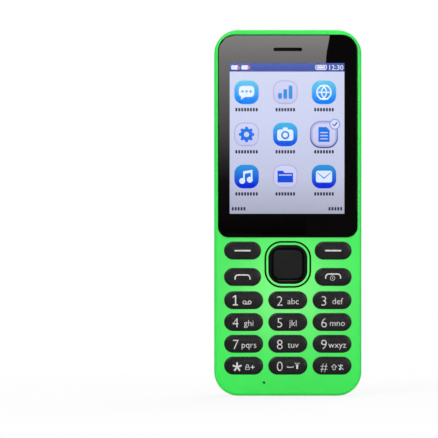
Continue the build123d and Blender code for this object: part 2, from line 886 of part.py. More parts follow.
# USB socket: a thin shell with a tongue inside
usb_mouth_z = body_height - usb_mouth_inset
with BuildPart() as usb_socket:
    with BuildSketch(Plane.XY.offset(usb_mouth_z - usb_length)):
        with Locations((usb_x, front_y + usb_axis_depth)):
            RectangleRounded(usb_width, usb_height, usb_radius)
    extrude(amount=usb_length)
    with BuildSketch(Plane.XY.offset(usb_mouth_z - usb_length + usb_wall)):
        with Locations((usb_x, front_y + usb_axis_depth)):
            RectangleRounded(usb_width - 2 * usb_wall, usb_height - 2 * usb_wall, usb_radius - usb_wall)
    extrude(amount=usb_length, mode=Mode.SUBTRACT)
    with BuildSketch(Plane.XY.offset(usb_mouth_z - usb_length + usb_wall)):
        with Locations((usb_x, front_y + usb_axis_depth)):
            Rectangle(usb_tongue_width, usb_tongue_thickness)
    extrude(amount=usb_length - usb_wall - usb_mouth_inset)
save(usb_socket, "usb_socket")

# Torch: a light on the board and a collared lens in the top wall
lens_foot_z = body_height - port_gap - torch_lens_length
with BuildPart() as torch_lens:
    with BuildSketch(Plane.XY.offset(lens_foot_z)):
        with Locations((0, front_y + torch_axis_depth)):
            Circle(torch_lens_radius)
    extrude(amount=torch_lens_length)
    fillet(torch_lens.faces().sort_by(Axis.Z)[-1].edges(), torch_collar)
save(torch_lens, "torch_lens")
with BuildPart() as torch_led:
    with BuildSketch(Plane.XY.offset(lens_foot_z - slip - torch_led_length)):
        with Locations((0, front_y + board_back + torch_led_height / 2)):
            Rectangle(torch_led_width, torch_led_height)
    extrude(amount=torch_led_length)
save(torch_led, "torch_led")


def make_card_socket(x, z, width, height):
    """Metal hood on the board with a slot for a card, open at the top end."""
    with BuildPart() as socket:
        with BuildSketch(across(board_back)):
            with Locations((x, z)):
                Rectangle(width, height)
        slab(board_back, board_back + sim_depth)
        slot_back = board_back + sim_depth - card_slot_wall
        with BuildSketch(across(slot_back - card_slot_thickness)):
            with Locations((x, z + card_slot_side)):
                Rectangle(width - 2 * card_slot_side, height)
        slab(slot_back - card_slot_thickness, slot_back, mode=Mode.SUBTRACT)
    return socket


save(make_card_socket(-sim_x, sim_z, sim_width, sim_height), "sim_socket_1")
save(make_card_socket(sim_x, sim_z, sim_width, sim_height), "sim_socket_2")
save(make_card_socket(memory_x, memory_z, memory_width, memory_height), "memory_card_socket")

# Battery connector: a block on the board, and three sprung contacts that reach into the bay
block_back = plate_front - contact_block_drop
contact_depth = floor_back + (block_back - floor_back) / 2
with BuildPart() as battery_connector:
    with BuildSketch(across(board_back)):
        with Locations((0, contact_face_z + contact_block_length / 2)):
            Rectangle(contact_block_width, contact_block_length)
    slab(board_back, block_back)
save(battery_connector, "battery_connector")
with BuildPart() as battery_springs:
    with BuildSketch(across(contact_depth - contact_height / 2)):
        with Locations((0, contact_face_z - contact_tip / 2)):
            with GridLocations(contact_pitch, contact_tip, 3, 1):
                Rectangle(contact_width, contact_tip)
    slab(contact_depth - contact_height / 2, contact_depth + contact_height / 2)
    fillet(battery_springs.faces().group_by(Axis.Z)[0].edges().filter_by(Axis.X), contact_height / 3)
save(battery_springs, "battery_springs")

# Battery
with BuildPart() as battery:
    with BuildSketch(across(battery_front)):
        with Locations((0, battery_z)):
            RectangleRounded(battery_width, battery_height, battery_radius)
    slab(battery_front, battery_back)
    fillet(battery.faces().sort_by(Axis.Y)[-1].edges(), battery_edge)
    fillet(battery.faces().sort_by(Axis.Y)[0].edges(), battery_edge)
save(battery, "battery")

# Rear chassis: plate in the housing's rebate, skirt inside the band, battery bay and speaker chamber
tab_x = body_width / 2 - cover_inset - cover_wall + cover_tab_seat - cover_tab_width / 2
chamber_pocket_width = speaker_width + 2 * slip
chamber_pocket_height = speaker_height + 2 * slip
bay_wall_back = cover_inner_back - bay_wall_drop
with BuildPart() as rear_chassis:
    with BuildSketch(across(plate_front)):
        body_outline(rim_wall + port_gap)
    slab(plate_front, plate_back)
    with BuildSketch(across(plate_front - skirt_depth)):
        body_outline(side_wall + slip)
        with Locations((0, middle_z)):
            RectangleRounded(
                body_width - 2 * (side_wall + slip + skirt_wall),
                body_height - 2 * (side_wall + slip + skirt_wall),
                corner_radius - side_wall - slip - skirt_wall,
                mode=Mode.SUBTRACT,
            )
        with Locations((0, body_height)):
            Rectangle(skirt_break_width, 2 * (side_wall + slip + skirt_wall + touch), mode=Mode.SUBTRACT)
    slab(plate_front - skirt_depth, plate_front)
    with BuildSketch(across(floor_front)):
        with Locations((0, battery_z)):
            Rectangle(bay_width + 2 * bay_wall, bay_height + 2 * bay_wall)
    slab(floor_front, bay_wall_back)
    with BuildSketch(across(floor_back)):
        with Locations((0, battery_z)):
            RectangleRounded(bay_width, bay_height, battery_radius)
    slab(floor_back, bay_wall_back, mode=Mode.SUBTRACT)
    with BuildSketch(across(floor_front)):
        for side in (-1, 1):
            with Locations((side * sim_x, sim_z)):
                Rectangle(sim_width + card_window_margin, sim_height + 2 * card_window_margin)
        with Locations((memory_x, memory_z)):
            Rectangle(memory_width + 2 * card_window_margin, memory_height + 2 * card_window_margin)
    slab(floor_front, floor_back, mode=Mode.SUBTRACT)
    with BuildSketch(across(speaker_front - touch - chamber_floor)):
        with Locations((0, grille_z)):
            Rectangle(chamber_pocket_width + 2 * chamber_floor, chamber_pocket_height + 2 * chamber_floor)
    slab(speaker_front - touch - chamber_floor, plate_front)
    with BuildSketch(across(plate_front)):
        with Locations((0, grille_z)):
            Rectangle(speaker_width + 2 * chamber_wall_x, speaker_height + 2 * chamber_wall_z)
    slab(plate_front, chamber_back)
    with BuildSketch(across(speaker_front - touch)):
        with Locations((0, grille_z)):
            RectangleRounded(chamber_pocket_width, chamber_pocket_height, speaker_round)
    slab(speaker_front - touch, chamber_back, mode=Mode.SUBTRACT)
    with BuildSketch(across(speaker_back)):
        with Locations((0, grille_z)):
            RectangleRounded(sound_width, sound_height, speaker_round)
    slab(speaker_back, chamber_back, mode=Mode.SUBTRACT)
    with BuildSketch(across(board_back)):
        with Locations(*screw_places):
            Circle(post_radius)
    slab(board_back, plate_front)
    with BuildSketch(across(board_back)):
        with Locations(*screw_places):
            Circle(screw_radius + screw_clearance)
    slab(board_back, plate_back, mode=Mode.SUBTRACT)
    with BuildSketch(across(screw_seat)):
        with Locations(*screw_places):
            Circle(screw_head_radius + screw_clearance)
    slab(screw_seat, plate_back, mode=Mode.SUBTRACT)
    with BuildSketch(across(plate_front)):
        for side in (-1, 1):
            with Locations((side * tab_x, middle_z)):
                with GridLocations(cover_tab_width, cover_tab_spacing, 1, 3):
                    Rectangle(cover_tab_width + 2 * cover_tab_gap, cover_tab_length + 2 * cover_tab_gap)
    slab(plate_front, plate_back, mode=Mode.SUBTRACT)
    with BuildSketch(across(floor_front)):
        with Locations((0, battery_top + battery_gap)):
            Rectangle(
                contact_block_width + 2 * contact_notch_spare,
                contact_face_z + contact_block_length + contact_notch_spare - battery_top - battery_gap,
                align=(Align.CENTER, Align.MIN),
            )
    slab(floor_front, block_back + contact_block_drop / 2, mode=Mode.SUBTRACT)
save(rear_chassis, "rear_chassis")

# Screws that hold the chassis and the board to the housing's bosses
with BuildPart() as housing_screws:
    with BuildSketch(across(screw_tip_depth)):
        with Locations(*screw_places):
            Circle(screw_radius)
    slab(screw_tip_depth, screw_seat)
    with BuildSketch(across(screw_seat)):
        with Locations(*screw_places):
            Circle(screw_head_radius)
    slab(screw_seat, plate_back - touch)
    with BuildSketch(across(plate_back - touch - socket_depth)):
        with Locations(*screw_places):
            RegularPolygon(socket_radius, 6)
    slab(plate_back - touch - socket_depth, plate_back - touch, mode=Mode.SUBTRACT)
save(housing_screws, "housing_screws")

# Loudspeaker in its chamber, the foam gasket on the chamber's rim and the dust mesh under the grille
with BuildPart() as loudspeaker:
    with BuildSketch(across(speaker_front)):
        with Locations((0, grille_z)):
            RectangleRounded(speaker_width, speaker_height, speaker_round)
    slab(speaker_front, speaker_back)
save(loudspeaker, "loudspeaker")
with BuildPart() as speaker_gasket:
    with BuildSketch(across(chamber_back)):
        with Locations((0, grille_z)):
            RectangleRounded(sound_width + 2 * gasket_rim, sound_height + 2 * gasket_rim, speaker_round)
            RectangleRounded(sound_width, sound_height, speaker_round, mode=Mode.SUBTRACT)
    slab(chamber_back, chamber_back + gasket_thickness)
save(speaker_gasket, "speaker_gasket")
with BuildPart() as speaker_mesh:
    with BuildSketch(across(cover_inner_back - dust_mesh_thickness)):
        with Locations((0, grille_z)):
            RectangleRounded(sound_width + gasket_rim, sound_height, speaker_round)
    slab(cover_inner_back - dust_mesh_thickness, cover_inner_back)
save(speaker_mesh, "speaker_mesh")

# Antenna: a thin printed sheet on the lower deck, slotted into two arms
with BuildPart() as antenna:
    with BuildSketch(across(plate_back)):
        with Locations((0, antenna_z)):
            Rectangle(antenna_width, antenna_height)
        arm_shift = antenna_width * (1 - antenna_arm_share) / 2
        for side in (-1, 1):
            with Locations((side * arm_shift, antenna_z + side * antenna_slot)):
                Rectangle(antenna_width * antenna_arm_share, antenna_slot, mode=Mode.SUBTRACT)
    slab(plate_back, plate_back + antenna_thickness)
save(antenna, "antenna")

# Rear cover: a shallow pillow with rounded sides, tabs that locate it, a pry notch and the grille
with BuildPart() as rear_cover:
    with BuildSketch(across(cover_edge)):
        body_outline(cover_inset)
    slab(cover_edge, cover_shoulder)
    for angle in crown_angles:
        rise = math.sin(math.radians(angle))
        with BuildSketch(across(cover_shoulder + (body_depth - cover_shoulder) * rise)):
            crown_outline(cover_inset, cover_side_reach, cover_end_reach, angle)
    loft()
    with BuildSketch(across(cover_edge)):
        body_outline(cover_inset + cover_wall)
    slab(cover_edge, cover_shoulder, mode=Mode.SUBTRACT)
    for angle in crown_angles:
        rise = math.sin(math.radians(angle))
        with BuildSketch(across(cover_shoulder + (cover_inner_back - cover_shoulder) * rise)):
            crown_outline(
                cover_inset + cover_wall, cover_inner_side_reach, cover_inner_end_reach, angle
            )
    loft(mode=Mode.SUBTRACT)
    with BuildSketch(across(cover_edge - cover_tab_depth)):
        for side in (-1, 1):
            with Locations((side * tab_x, middle_z)):
                with GridLocations(cover_tab_width, cover_tab_spacing, 1, 3):
                    Rectangle(cover_tab_width, cover_tab_length)
    slab(cover_edge - cover_tab_depth, cover_edge - cover_tab_depth + cover_tab_height)
    with BuildSketch(across(cover_edge)):
        with Locations((0, cover_inset)):
            Rectangle(notch_width, 2 * notch_height)
    slab(cover_edge, cover_edge + notch_depth, mode=Mode.SUBTRACT)
    with BuildSketch(across(body_depth)):
        for row, count in enumerate(grille_counts):
            with Locations((0, grille_z + (row - 1) * grille_row_pitch)):
                with GridLocations(grille_pitch, grille_row_pitch, count, 1):
                    Circle(grille_hole_radius)
    extrude(amount=cover_wall + touch, mode=Mode.SUBTRACT)
save(rear_cover, "rear_cover")
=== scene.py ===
"""Looks of the feature phone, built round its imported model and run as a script.

Places are in metres in the frame of the model: the screen faces -Y and the height runs along +Z.
Prints are drawn in units of their own, which are scaled to the pieces that carry them.
"""

import math

import bmesh
import bpy
from mathutils import Color, Matrix, Vector


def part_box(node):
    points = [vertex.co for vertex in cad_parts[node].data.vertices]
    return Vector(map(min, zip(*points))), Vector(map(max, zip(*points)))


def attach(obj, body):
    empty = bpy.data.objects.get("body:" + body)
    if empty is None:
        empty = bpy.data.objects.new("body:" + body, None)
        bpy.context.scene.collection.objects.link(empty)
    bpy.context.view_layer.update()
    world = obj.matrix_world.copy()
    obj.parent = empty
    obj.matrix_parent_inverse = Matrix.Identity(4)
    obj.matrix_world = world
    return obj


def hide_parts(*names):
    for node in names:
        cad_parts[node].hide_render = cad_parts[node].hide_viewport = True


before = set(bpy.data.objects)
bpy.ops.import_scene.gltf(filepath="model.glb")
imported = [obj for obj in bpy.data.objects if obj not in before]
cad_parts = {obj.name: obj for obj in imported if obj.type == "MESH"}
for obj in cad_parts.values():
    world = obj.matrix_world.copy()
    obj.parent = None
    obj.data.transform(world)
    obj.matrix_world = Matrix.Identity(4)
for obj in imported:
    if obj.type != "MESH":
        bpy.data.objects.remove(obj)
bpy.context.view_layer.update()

bl_info = {
    "name": "Feature phone looks",
    "version": (1, 0, 0),
    "blender": (4, 5, 0),
    "location": "3D View > Sidebar > Phone",
    "description": "Dresses the packed feature phone and its studio",
    "category": "Object",
}

MM = 0.001
MERGE = 0.000001
LEAST_RADIUS = 0.00002
LAYER = 0.01 * MM
SHARP_ANGLE = math.radians(32)
CORNER_STEPS = 10
NORMAL_WEIGHT = 90
UNBRUSHED = (1, 1, 1)

housing_low, housing_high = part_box("front_housing")
window_low, window_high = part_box("display_window")
panel_low, panel_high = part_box("display_panel")
FRONT = housing_low.y
NAV_KEY = "ok_key"
PRESSED_KEYS = sorted(
    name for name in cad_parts
    if ("key_" in name or name.endswith("_key")) and name not in (NAV_KEY, "key_domes")
)

# Units in which prints are drawn: to the height of a figure and of the status bar, and to the width of a tile
FIGURE_GRID = 3.3
BAR_GRID = 2.7
TILE_GRID = 7.9

# Height of a figure as a share of the size of its type
FIGURE_SHARE = 0.73

# Key cap: steps round its edge, shares of the way to its middle, and the grid that cuts its print
EDGE_STEPS = 6
CROWN_SHARES = (0.25, 0.4, 0.55, 0.7, 0.85, 0.97)
PRINT_SLICE = 0.4 * MM

# Prints of a key in the units of a figure: a figure's middle and drop, and the middle and foot of the letters
FIGURE_MIDDLE = -2.6
FIGURE_DROP = 0.1
LETTER_PLACE = (1.7, -1.25)
HASH_SHARE = 0.9

# How much type is thinned or thickened, as shares of its size
FIGURE_WEIGHT = -0.014
LETTER_WEIGHT = -0.005
CLOCK_WEIGHT = 0.01

# Letters and figures set in type; the star and the 1 are drawn
LETTERS = {
    "key_2": "abc",
    "key_3": "def",
    "key_4": "ghi",
    "key_5": "jkl",
    "key_6": "mno",
    "key_7": "pqrs",
    "key_8": "tuv",
    "key_9": "wxyz",
}
FIGURES = {f"key_{figure}": str(figure) for figure in (0, *range(2, 10))} | {"key_hash": "#"}

# Colours of the blue tiles by row, at their foot and at their head
TILE_BLUES = (
    ((0.04, 0.51, 0.97), (0.4, 0.8, 0.95)),
    ((0.06, 0.34, 0.91), (0.26, 0.74, 0.92)),
    ((0.06, 0.17, 0.85), (0.2, 0.6, 0.88)),
)

# Letters in the labels of each column and in the two at the foot, and the block that stands for a letter
LABEL_LETTERS = (8, 7, 7)
FOOT_LETTERS = 5
LETTER_BLOCK = (0.64 * MM, 1.1 * MM, 0.2 * MM, LAYER)

# Shares of a tile's width
TILE_HEIGHT = 0.97
TILE_ROUND = 0.36

# Rims of the tiles in units of a tile: how far outside its edge they start, and their width
FINE_RIM = (-0.3, 0.3)
CHOSEN_RIM = (0.1, 0.5)

# Badge of the chosen tile in the same units: its place from the tile's middle, its radius and its rim's
BADGE_PLACE = (3.5, 3.3)
BADGE_FACE = 1.4
BADGE_RIM = 1.75

# Status bar in its units: card marks from the left side, battery mark and clock from the right side
CARD_MARKS = (1.6, 4.9)
BATTERY_MARK = 7.5
CLOCK_MARK = 2.75
CLOCK_HEIGHT = 1.65
CLOCK_DROP = 0.82

# Loudspeaker: steps of its surround and its dome, and their heights as shares of the cone's depth
CONE_STEPS = 8
ROLL_SHARE = 0.7
DOME_SHARE = 0.5

# Battery label: its printed lines, their round, and a sign's bar: thickness and round as shares of its length
LABEL_LINES = 4
LINE_ROUND = 0.3 * MM
SIGN_SHARE = 0.6 / 2.6
SIGN_ROUND = SIGN_SHARE / 6

# Lamps: the property that holds their power, their width and their place
LAMPS = {
    "key_lamp": ("key_power", 0.9, (-0.7, -1.25, 1.0)),
    "fill_lamp": ("fill_power", 0.8, (0.75, -1.35, 0.45)),
    "back_lamp": ("back_power", 1.0, (0.5, 1.4, 0.9)),
    "top_lamp": ("fill_power", 0.7, (0.0, 0.1, 1.5)),
}

# Camera: width of its sensor in millimetres, and how far it sees
SENSOR = 36.0
CAMERA_END = 50.0

# Floor: half its width, and where it starts and ends to fade into the white of the room
FLOOR_REACH = 4.0
FLOOR_FADE = (0.05, 0.3)

# Light at the sides of the room as a share of the light in its middle
ROOM_SIDES = 0.125

# Card mirrored in the window: its distance from the phone as a multiple of the camera's, and its edges as
# they show in the window, from the window's left side and its head
CARD_SHARE = 1.3
CARD_LEFT = -14.0 * MM
CARD_FOOT_RIGHT = 27.9 * MM
CARD_TOP_RIGHT = 37.3 * MM
CARD_RISE = 12.0 * MM

# Share of the card's light from the window's foot to its head
CARD_FADE = ((0.0, 0.0), (0.28, 0.02), (0.38, 0.09), (0.68, 0.43), (0.89, 0.74), (1.0, 1.0))

# Lamp mirrored in the green face: its height, distance, width and colour, and the pieces that it lights
GLOW_HEIGHT = 33 * MM
GLOW_REACH = 60 * MM
GLOW_WIDTH = 20 * MM
GLOW_TINT = (1.0, 0.66, 0.75)
GLOW_PIECES = ("front_shell", "ring_trim")


def measure(name, description, default):
    """Property that holds a length in metres."""
    return bpy.props.FloatProperty(name=name, description=description, unit="LENGTH", default=default)


def amount(name, description, default):
    """Property that holds a number of at least zero."""
    return bpy.props.FloatProperty(name=name, description=description, min=0, default=default)


def swatch(name, description, default):
    """Property that holds an sRGB colour."""
    return bpy.props.FloatVectorProperty(
        name=name, description=description, subtype="COLOR_GAMMA", min=0, max=1, default=default
    )


class PhoneFinish(bpy.types.PropertyGroup):
    """Colours of the mouldings and prints."""

    shell: swatch("Shell", "Front housing", (0.195, 0.94, 0.335))
    cover: swatch("Cover", "Rear cover", (0.36, 0.95, 0.4))
    # The chassis green is darkened to match the shaded groove: painted shade over the moulding's own green
    chassis: swatch("Chassis", "Rear chassis", (0.1, 0.6, 0.15))
    keys: swatch("Keys", "Key caps", (0.12, 0.11, 0.125))
    print_grey: swatch("Print", "Figures on the keys", (0.9, 0.89, 0.89))


class PhoneScreen(bpy.types.PropertyGroup):
    """Layout and colours of the lit screen."""

    width: measure("Width", "Lit width", 0.037)
    height: measure("Height", "Lit height", 0.0486)
    top_lap: measure("Top lap", "Panel above the lit area", 0.0017)
    bar: measure("Bar", "Height of the status bar", 0.0027)
    tile: measure("Tile", "Width of a tile", 0.0079)
    pitch_x: measure("Column pitch", "Tile to tile", 0.0125)
    pitch_z: measure("Row pitch", "Row to row", 0.0136)
    glow: amount("Glow", "Strength of the lit picture", 1.0)
    shift_x: measure("Shift across", "Tiles from the middle", -0.00055)
    shift_z: measure("Shift up", "Tiles from the middle", 0.0013)
    letter: measure("Letter", "Letter to letter", 0.00094)
    label_drop: measure("Label drop", "Label below its tile's middle", 0.0056)
    foot_rise: measure("Foot rise", "Lowest labels above the foot", 0.0016)
    foot_margin: measure("Foot margin", "Lowest labels from the side", 0.001)
    clock: bpy.props.StringProperty(name="Clock", description="Time in the status bar", default="12:30")


class PhoneKeys(bpy.types.PropertyGroup):
    """Shape of the key caps and of the prints on them."""

    lap: measure("Lap", "Flange beyond the cap", 0.00043)
    flange: measure("Flange", "Thickness of the flange", 0.0005)
    edge: measure("Edge", "Round of the cap's edge", 0.0004)
    crown: measure("Crown", "Rise of the cap's middle", 0.00016)
    figure: measure("Figure", "Height of a figure", 0.0033)
    letter: measure("Letter", "Height of a tall letter", 0.00205)
    ink: measure("Ink", "Thickness of a print", 0.00003)
    proud: measure("Proud", "Print above its face", 0.000008)


class PhoneBoard(bpy.types.PropertyGroup):
    """Sprung contacts of the card sockets."""

    width: measure("Width", "Width of a contact", 0.0015)
    height: measure("Height", "Height of a contact", 0.0022)
    corner: measure("Corner", "Round of a contact", 0.0003)
    depth: measure("Depth", "Thickness of a contact", 0.00003)
    step: measure("Step", "Contact to contact", 0.00254)
    columns: bpy.props.IntProperty(name="Columns", description="Contacts in a row", min=1, default=3)


class PhoneSound(bpy.types.PropertyGroup):
    """Woven meshes and loudspeaker."""

    wire: measure("Wire", "Radius of a wire", 0.000024)
    speaker_pitch: measure("Speaker pitch", "Wire to wire over the loudspeaker", 0.0003)
    earpiece_pitch: measure("Earpiece pitch", "Wire to wire over the earpiece", 0.00018)
    corner: measure("Corner", "Round of the speaker", 0.0015)
    rim: measure("Rim", "Width of the frame's rim", 0.0009)
    roll: measure("Roll", "Width of the surround", 0.0015)
    depth: measure("Depth", "Cone below the rim", 0.0007)


class PhoneBattery(bpy.types.PropertyGroup):
    """Label and contacts of the battery."""

    margin: measure("Margin", "Sleeve beside the label", 0.003)
    corner: measure("Corner", "Round of the label", 0.001)
    film: measure("Film", "Half the label's thickness", 0.00002)
    line: measure("Line", "Length of a printed line", 0.018)
    line_height: measure("Line height", "Its height", 0.0007)
    line_step: measure("Line step", "Line to line", 0.0024)
    line_drop: measure("Line drop", "Lowest line below the middle", 0.012)
    sign: measure("Sign", "Length of a sign's bar", 0.0026)
    sign_side: measure("Sign side", "Signs from the middle", 0.0065)
    sign_drop: measure("Sign drop", "Signs below the top end", 0.0095)
    pad_width: measure("Pad width", "Width of a pad", 0.0018)
    pad_height: measure("Pad height", "Depth of a pad", 0.0014)
    pad_step: measure("Pad step", "Pad to pad", 0.0026)


class PhoneStage(bpy.types.PropertyGroup):
    """Camera and studio."""

    lens: amount("Lens", "Focal length in millimetres", 400)
    view: measure("View", "Width seen at the phone", 0.14126)
    side: measure("Side", "Camera's place along X", -0.0222)
    rise: measure("Rise", "Camera's height", 0.057)
    ambient: amount("Ambient", "Even light of the room", 0.52)
    key_power: amount("Key", "Main lamp in watts", 12)
    fill_power: amount("Fill", "Side lamp in watts", 5.5)
    back_power: amount("Back", "Lamp behind in watts", 13)
    sheen: amount("Sheen", "Card mirrored in the window", 5.4)
    glow: amount("Glow", "Lamp mirrored in the green, in watts", 0.021)


def paint(colour):
    """Shader colour of an sRGB colour."""
    return (*Color(colour[:3]).from_srgb_to_scene_linear(), 1.0)


def add_node(tree, kind, inputs=None, **settings):
    """Add a node with its settings, and with values or links for its inputs."""
    node = tree.nodes.new(kind)
    for key, value in settings.items():
        setattr(node, key, value)
    for key, value in (inputs or {}).items():
        if isinstance(value, bpy.types.NodeSocket):
            tree.links.new(value, node.inputs[key])
        else:
            node.inputs[key].default_value = value
    return node


def bare_material(name):
    """Material with an empty tree, and the tree."""
    material = bpy.data.materials.new(name)
    material.use_nodes = True
    material.node_tree.nodes.clear()
    return material, material.node_tree


def new_material(name):
    """Material with one Principled shader, and its tree and shader."""
    material, tree = bare_material(name)
    shader = add_node(tree, "ShaderNodeBsdfPrincipled")
    add_node(tree, "ShaderNodeOutputMaterial", {"Surface": shader.outputs[0]})
    return material, tree, shader


def set_shader(shader, values):
    """Constants on the shader's own sockets."""
    for key, value in values.items():
        shader.inputs[key].default_value = value


def surface(name, colours, gloss, grain, drift=(120, 0.5), stretch=(1, 1, 1), values=None):
    """Finish whose colour drifts between two shades, with a fine grain in its gloss and relief.

    The gloss is the least and the greatest roughness, the grain is its scale and its depth in metres,
    and the drift is its scale and the share of it that shows.
    """
    material, tree, shader = new_material(name)
    place = add_node(tree, "ShaderNodeTexCoord").outputs["Object"]
    stretched = add_node(tree, "ShaderNodeMapping", {"Vector": place, "Scale": stretch}).outputs[0]
    broad = add_node(tree, "ShaderNodeTexNoise", {"Vector": stretched, "Scale": drift[0], "Detail": 2.0})
    spread = add_node(
        tree, "ShaderNodeMapRange",
        {"Value": broad.outputs[0], "From Min": 0.35, "From Max": 0.65, "To Min": 0.0, "To Max": drift[1]},
    )
    mixed = add_node(
        tree, "ShaderNodeMix", {0: spread.outputs[0], 6: paint(colours[0]), 7: paint(colours[1])},
        data_type="RGBA",
    )
    fine = add_node(tree, "ShaderNodeTexNoise", {"Vector": stretched, "Scale": grain[0], "Detail": 3.0})
    rough = add_node(
        tree, "ShaderNodeMapRange", {"Value": fine.outputs[0], "To Min": gloss[0], "To Max": gloss[1]}
    )
    relief = add_node(
        tree, "ShaderNodeBump", {"Height": fine.outputs[0], "Strength": 0.6, "Distance": grain[1]}
    )
    tree.links.new(mixed.outputs[2], shader.inputs["Base Color"])
    tree.links.new(rough.outputs[0], shader.inputs["Roughness"])
    tree.links.new(relief.outputs[0], shader.inputs["Normal"])
    set_shader(shader, values or {})
    return material


def cells(name, colours, gloss, scale, depth, values=None):
    """Finish of open cells, as in foam and felt, with dark pores."""
    material, tree, shader = new_material(name)
    place = add_node(tree, "ShaderNodeTexCoord").outputs["Object"]
    pores = add_node(tree, "ShaderNodeTexVoronoi", {"Vector": place, "Scale": scale})
    mixed = add_node(
        tree, "ShaderNodeMix", {0: pores.outputs["Distance"], 6: paint(colours[0]), 7: paint(colours[1])},
        data_type="RGBA",
    )
    relief = add_node(
        tree, "ShaderNodeBump", {"Height": pores.outputs["Distance"], "Strength": 0.8, "Distance": depth}
    )
    tree.links.new(mixed.outputs[2], shader.inputs["Base Color"])
    tree.links.new(relief.outputs[0], shader.inputs["Normal"])
    set_shader(shader, {"Roughness": gloss} | (values or {}))
    return material


def set_stops(ramp, stops):
    """Positions and colours of a colour ramp's stops."""
    elements = ramp.color_ramp.elements
    while len(elements) < len(stops):
        elements.new(1.0)
    for element, (position, colour) in zip(elements, stops):
        element.position = position
        element.color = (*colour[:3], 1.0)


def lit(name, stops, strength, low=0.0, high=1.0, by_uv=False):
    """Glowing picture whose colour runs through stops up the piece, or up its own UV map."""
    material, tree, shader = new_material(name)
    coordinates = add_node(tree, "ShaderNodeTexCoord")
    place = coordinates.outputs["UV" if by_uv else "Object"]
    split = add_node(tree, "ShaderNodeSeparateXYZ", {"Vector": place})
    height = add_node(
        tree, "ShaderNodeMapRange",
        {"Value": split.outputs["Y" if by_uv else "Z"], "From Min": low, "From Max": high},
    )
    ramp = add_node(tree, "ShaderNodeValToRGB", {"Fac": height.outputs[0]})
    set_stops(ramp, [(position, paint(colour)) for position, colour in stops])
    grain = add_node(tree, "ShaderNodeTexNoise", {"Vector": coordinates.outputs["Object"], "Scale": 900.0})
    soft = add_node(tree, "ShaderNodeMapRange", {"Value": grain.outputs[0], "To Min": 0.96, "To Max": 1.04})
    glow = add_node(
        tree, "ShaderNodeVectorMath", {0: ramp.outputs[0], "Scale": soft.outputs[0]}, operation="SCALE"
    )
    tree.links.new(glow.outputs[0], shader.inputs["Emission Color"])
    set_shader(shader, {
        "Base Color": (0, 0, 0, 1), "Emission Strength": strength,
        "Roughness": 0.4, "Specular IOR Level": 0.0,
    })
    return material


def clear(name, tint, ior=1.49, coat=0.0):
    """Clear plastic with faint wiping marks in its gloss; a low index with a thin coat is anti-reflective."""
    material, tree, shader = new_material(name)
    place = add_node(tree, "ShaderNodeTexCoord").outputs["Object"]
    marks = add_node(tree, "ShaderNodeTexNoise", {"Vector": place, "Scale": 800.0, "Detail": 3.0})
    rough = add_node(tree, "ShaderNodeMapRange", {"Value": marks.outputs[0], "To Min": 0.0, "To Max": 0.02})
    tree.links.new(rough.outputs[0], shader.inputs["Roughness"])
    set_shader(
        shader, {"Base Color": paint(tint), "Transmission Weight": 1.0, "IOR": ior, "Coat Weight": coat}
    )
    return material


def shell_green(colour):
    """Satin moulded plastic with a fine spark-eroded grain."""
    shade = [channel * 0.93 for channel in colour]
    return surface(
        "shell_green", (colour, shade), (0.34, 0.44), (5200, 0.000004), (38, 0.5), values={"IOR": 1.46}
    )


def cover_green(colour):
    """The same plastic on the cover, a little more matt."""
    shade = [channel * 0.93 for channel in colour]
    return surface(
        "cover_green", (colour, shade), (0.38, 0.5), (4800, 0.000005), (32, 0.5), values={"IOR": 1.46}
    )


def chassis_green(colour):
    """Unpolished moulding behind the cover, in a darker green that is painted shade of the groove where it
    shows.
    """
    shade = [channel * 0.86 for channel in colour]
    return surface("chassis_green", (colour, shade), (0.45, 0.6), (3600, 0.00001), (70, 0.8))


def key_black(colour):
    """Glossy black key plastic with faint clouding."""
    shade = [channel * 0.7 for channel in colour]
    return surface(
        "key_black", (colour, shade), (0.22, 0.32), (6200, 0.000002), (260, 0.8),
        values={"Coat Weight": 0.1, "Coat Roughness": 0.12},
    )


def ring_black():
    """Polished black of the navigation ring."""
    return surface(
        "ring_black", ((0.045, 0.045, 0.05), (0.03, 0.03, 0.035)), (0.2, 0.28), (6200, 0.000001), (260, 0.8),
        values={"Specular IOR Level": 0.25},
    )


def key_matt():
    """Matt black of the centre key."""
    return surface(
        "key_matt", ((0.075, 0.08, 0.072), (0.06, 0.065, 0.058)), (0.42, 0.52), (6200, 0.000003), (260, 0.8),
        values={"Specular IOR Level": 0.3},
    )


def window_black():
    """Printed back of the window, seen through its hard glossy face."""
    return surface(
        "window_black", ((0.012, 0.006, 0.01), (0.02, 0.012, 0.018)), (0.0, 0.004), (900, 0.00000005),
        (60, 1.0), values={"IOR": 1.5},
    )


def print_grey(colour):
    """Screen-printed ink, slightly matt and uneven."""
    shade = [channel * 0.88 for channel in colour]
    return surface("print_grey", (colour, shade), (0.5, 0.65), (9000, 0.000002), (900, 0.8))


def silicone_grey():
    """Soft silicone of the mat and the web."""
    return surface(
        "silicone_grey", ((0.62, 0.63, 0.65), (0.5, 0.51, 0.53)), (0.5, 0.68), (4000, 0.00001), (150, 0.8),
        values={"Sheen Weight": 0.25, "Subsurface Weight": 0.08},
    )


def rubber_black():
    """Matt moulded rubber."""
    return surface("rubber_black", ((0.07, 0.07, 0.075), (0.11, 0.11, 0.115)), (0.7, 0.85), (5000, 0.00001))


def foam_black():
    """Open-cell foam."""
    return cells("foam_black", ((0.02, 0.02, 0.02), (0.16, 0.16, 0.17)), 0.9, 4500, 0.00006)


def tape_black():
    """Thin foam tape with a dull skin."""
    return cells("tape_black", ((0.05, 0.05, 0.055), (0.1, 0.1, 0.11)), 0.6, 7000, 0.00001)


def mesh_black():
    """Woven black wire."""
    return surface(
        "mesh_black", ((0.05, 0.05, 0.055), (0.12, 0.12, 0.13)), (0.35, 0.5), (8000, 0.000004),
        values={"Metallic": 0.6},
    )


